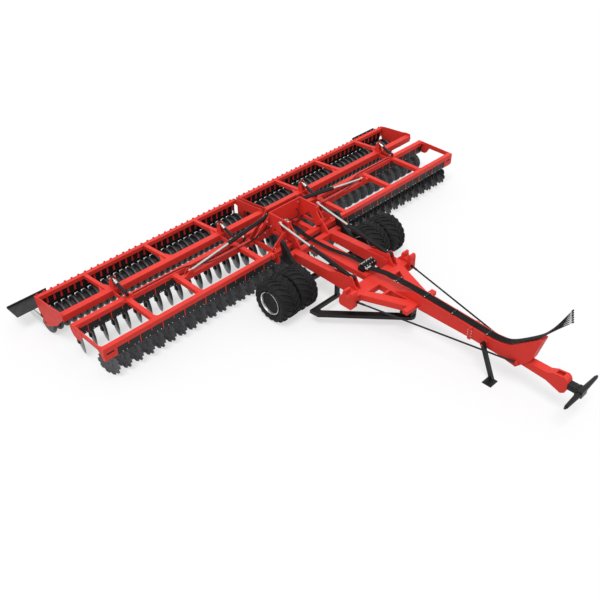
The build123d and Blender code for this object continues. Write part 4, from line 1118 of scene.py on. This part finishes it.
def scraper_bolts(sign):
    """The bolts of one side's scraper plates and of their holders."""
    shape = Shape()
    for x in SCRAPER_XS:
        for step in (-PLATE_BOLT_STEP, PLATE_BOLT_STEP):
            bolt(shape, at(sign * (x + step), PLATE_FRONT - 0.001, PLATE_BOLT_UP), FORWARD, 0.020)
            bolt(shape, at(sign * (x + step), PLATE_REAR + 0.001, PLATE_BOLT_UP), BACKWARD, 0.020)
    for x in RINGS:
        bolt(shape, at(sign * x, HOLDER_REAR, HOLDER_BOLT_UP), BACKWARD, 0.024)
    return shape


def scraper_tips(sign):
    """The hard-faced tip, ledge and side strips of every scraper on one side, and the end plate."""
    shape = Shape()
    for x in (sign * x for x in SCRAPER_XS):
        block(shape, at(x - TIP_HALF, PLATE_FRONT, TIP_LOW), at(x + TIP_HALF, PLATE_REAR, TIP_HIGH))
        block(shape, at(x - LEDGE_HALF, PLATE_FRONT - SKIN, LEDGE_LOW),
              at(x + LEDGE_HALF, PLATE_REAR + SKIN, LEDGE_HIGH))
        for edge in STRIPS:
            block(shape, at(x + edge, PLATE_FRONT, STRIP_LOW),
                  at(x + edge + STRIP_WIDE, PLATE_REAR, STRIP_HIGH))
    start, end = sorted(sign * x for x in END_PLATE_X)
    block(shape, at(start, PLATE_FRONT, END_PLATE_LOW), at(end, PLATE_REAR, END_PLATE_HIGH))
    return shape


for side, sign in SIDES.items():
    wing, heads = f"{side}_wing", Shape()
    housing_bolts(heads, [sign * x for x in WING_DISCS])
    piece(heads, f"{side}_housing_bolts", ZINC, wing)
    piece(scraper_bolts(sign), f"{side}_scraper_bolts", BLACK, wing)
    piece(scraper_tips(sign), f"{side}_scraper_tips", DARK, wing)

# %% Bolts and pins of the toolbar's centre
TOWER_FRONT, TOWER_REAR = 0.775, 0.945
FOLD_PIN, PIN_R = (0.470, 1.400), 0.034  # across, up
CENTRE_BOLTS = ((0.620, TOWER_FRONT, 1.300, 0.034), (0.700, TOWER_FRONT, 1.010, 0.026),
                (0.940, TOWER_FRONT, 1.010, 0.026), (0.600, 0.120, 1.030, 0.026),
                (0.980, 0.120, 0.990, 0.026))  # across, back, up, width


def pin_head(shape, place, direction, radius):
    """The domed head of a pin."""
    dome = ((-0.001, 1.0), (0.008, 1.0), (0.012, 0.86), (0.014, 0.5))  # along, share of the radius
    turned(shape, place, direction, [(along, radius * share) for along, share in dome], 18)


heads = Shape()
housing_bolts(heads, CENTRE_DISCS)
for sign in (-1, 1):
    across, up = FOLD_PIN
    pin_head(heads, at(sign * across, TOWER_FRONT, up), FORWARD, PIN_R)
    pin_head(heads, at(sign * across, TOWER_REAR, up), BACKWARD, PIN_R)
    for across, back, up, width in CENTRE_BOLTS:
        bolt(heads, at(sign * across, back, up), FORWARD, width)
piece(heads, "centre_bolts", ZINC, "toolbar")

# %% [markdown]
# ## Hydraulic cylinders
#
# The two pairs of long cylinders fold the wings and tilt the toolbar. Their
# tubes come from CAD. What they lack is the plumbing: a port block at each
# end of the tube, and a thin steel line that takes the oil along the tube to
# its far end. The gland gets a narrow bright ring where the chromed rod comes
# out. All of it rides on the barrel, so it swings with it.

# %% Ports and lines of the cylinders
CYLINDERS = {  # foot and head (across, back, up), length of the tube
    "tilt": ((0.655, -2.078, 1.076), (0.655, 0.288, 1.477), 1.350),
    "fold": ((0.470, 0.860, 1.400), (3.013, 0.860, 1.009), 1.375)}
PORT_INSET, LINE_INSET, LINE_R, LINE_ASIDE = 0.085, 0.10, 0.006, 0.012
PORT_OVER, NUT_OVER, LINE_OVER = 0.046, 0.066, 0.0575  # above the tube's middle line
PORT = ((0, 0.018), (0.018, 0.018), (0.022, 0.014))  # along, radius
PORT_NUT = ((0, 0.011), (0.004, 0.013), (0.012, 0.013), (0.015, 0.009))
GLAND_RING = ((0, 0.040), (0.004, 0.041), (0.008, 0.036))

for side, sign in SIDES.items():
    for kind, (foot, head, tube) in CYLINDERS.items():
        foot, head = (at(sign * x, back, up) for x, back, up in (foot, head))
        along = (head - foot).normalized()
        over = (UP - along * along.z).normalized()
        ports, ring = Shape(), Shape()
        for far in (PORT_INSET, tube - PORT_INSET):
            turned(ports, foot + along * far + over * PORT_OVER, over, PORT, 14)
            turned(ring, foot + along * far + over * NUT_OVER, over, PORT_NUT, 6)
        aside = along.cross(over).normalized() * (LINE_ASIDE * sign)
        turned(ports, foot + along * LINE_INSET + over * LINE_OVER + aside, along,
               [(0, LINE_R), (tube - 2 * LINE_INSET, LINE_R)], 10)
        turned(ring, foot + along * (tube - 0.001), along, GLAND_RING, 28)
        piece(ports, f"{side}_{kind}_ports", BLACK, f"{side}_{kind}_barrel")
        piece(ring, f"{side}_{kind}_gland_ring", ZINC, f"{side}_{kind}_barrel")

# %% [markdown]
# ## The drawbar's fittings
#
# Straps hold the supply hoses down on the drawbar, a bolted flange joins its
# two halves, and round stay rods run from the chassis to the foot of the
# drawbar's head. In front of them the drawbar ends in a swivel with a stack
# of collars, so that the machine can roll and yaw behind the tractor.

# %% Hose straps, flange bolts and swivel collars
STRAPS = ((-2.900, 1.112), (-3.700, 1.098), (-4.450, 1.049), (-5.350, 0.995))  # back, up
STRAP_ENDS, STRAP_BOLTS, STRAP_HALF = (-0.112, 0.092), (-0.103, 0.083), 0.022
FLANGE_FRONT, FLANGE_REAR, FLANGE_BOLT_X = -5.000, -4.920, 0.137
COLLARS = ((-7.285, 0.080), (-7.330, 0.094), (-7.375, 0.080), (-7.420, 0.094))  # back, radius
SWIVEL_UP = 0.772

straps, bolts = Shape(), Shape()
for back, up in STRAPS:
    block(straps, at(STRAP_ENDS[0], back - STRAP_HALF, up - 0.015),
          at(STRAP_ENDS[1], back + STRAP_HALF, up + 0.017))
    for x in STRAP_BOLTS:
        bolt(bolts, at(x, back, up + 0.016), UP, 0.015)
for x in (-FLANGE_BOLT_X, FLANGE_BOLT_X):
    for up in (0.700, 0.770, 0.840, 0.910):
        bolt(bolts, at(x, FLANGE_FRONT, up), FORWARD, 0.022)
        bolt(bolts, at(x, FLANGE_REAR, up), BACKWARD, 0.022)
for back, radius in COLLARS:
    collar = drum(0.030, radius, 0.8 * radius, 0.8 * radius, 0.006)
    turned(straps, at(0, back, SWIVEL_UP), FORWARD, collar, 28)
piece(straps, "hose_straps_and_collars", BLACK, "chassis", rounded=0.002)
piece(bolts, "drawbar_bolts", ZINC, "chassis")

# %% Stay rods
STAY_REAR, STAY_TIP = (0.971, -2.560, 0.795), (0.150, -6.120, 0.740)
STAY_LUG = ((-0.019, -2.560, 0.768), (0.019, -2.500, 0.822))  # two corners, from the rod's rear end
STAY = ((0, 0.018), (0.020, 0.026), (0.150, 0.026), (0.160, 0.020), (3.480, 0.020), (3.490, 0.026),
        (3.630, 0.026), (3.651, 0.018))  # along, radius

rods = Shape()
for sign in (-1, 1):
    rear, tip = route((STAY_REAR, STAY_TIP), sign)
    block(rods, *route(STAY_LUG, shift=sign * STAY_REAR[0]))
    turned(rods, rear, tip - rear, STAY, 20)
piece(rods, "round_stay_rods", BLACK, "chassis", rounded=0.002, replaces=("stay_rods",))

# %% [markdown]
# ## The strut of each edge board
#
# The bracket under an edge board is galvanised rather than painted, so it
# gets a thin bright skin over its CAD plate.

# %% Edge board struts
STRUT_INNER, STRUT_OUTER = 6.0005, 6.0165
STRUT = ((2.478, 0.420), (2.700, 0.4435), (3.252, 0.4435), (3.252, 0.425), (3.042, 0.1985),
         (2.558, 0.2285))  # back, up

for side, sign in SIDES.items():
    skin = Shape()
    start, end = sorted((sign * STRUT_INNER, sign * STRUT_OUTER))
    slab(skin, [at(start, back, up) for back, up in STRUT], ACROSS * (end - start))
    piece(skin, f"{side}_board_strut", ZINC, f"{side}_wing")
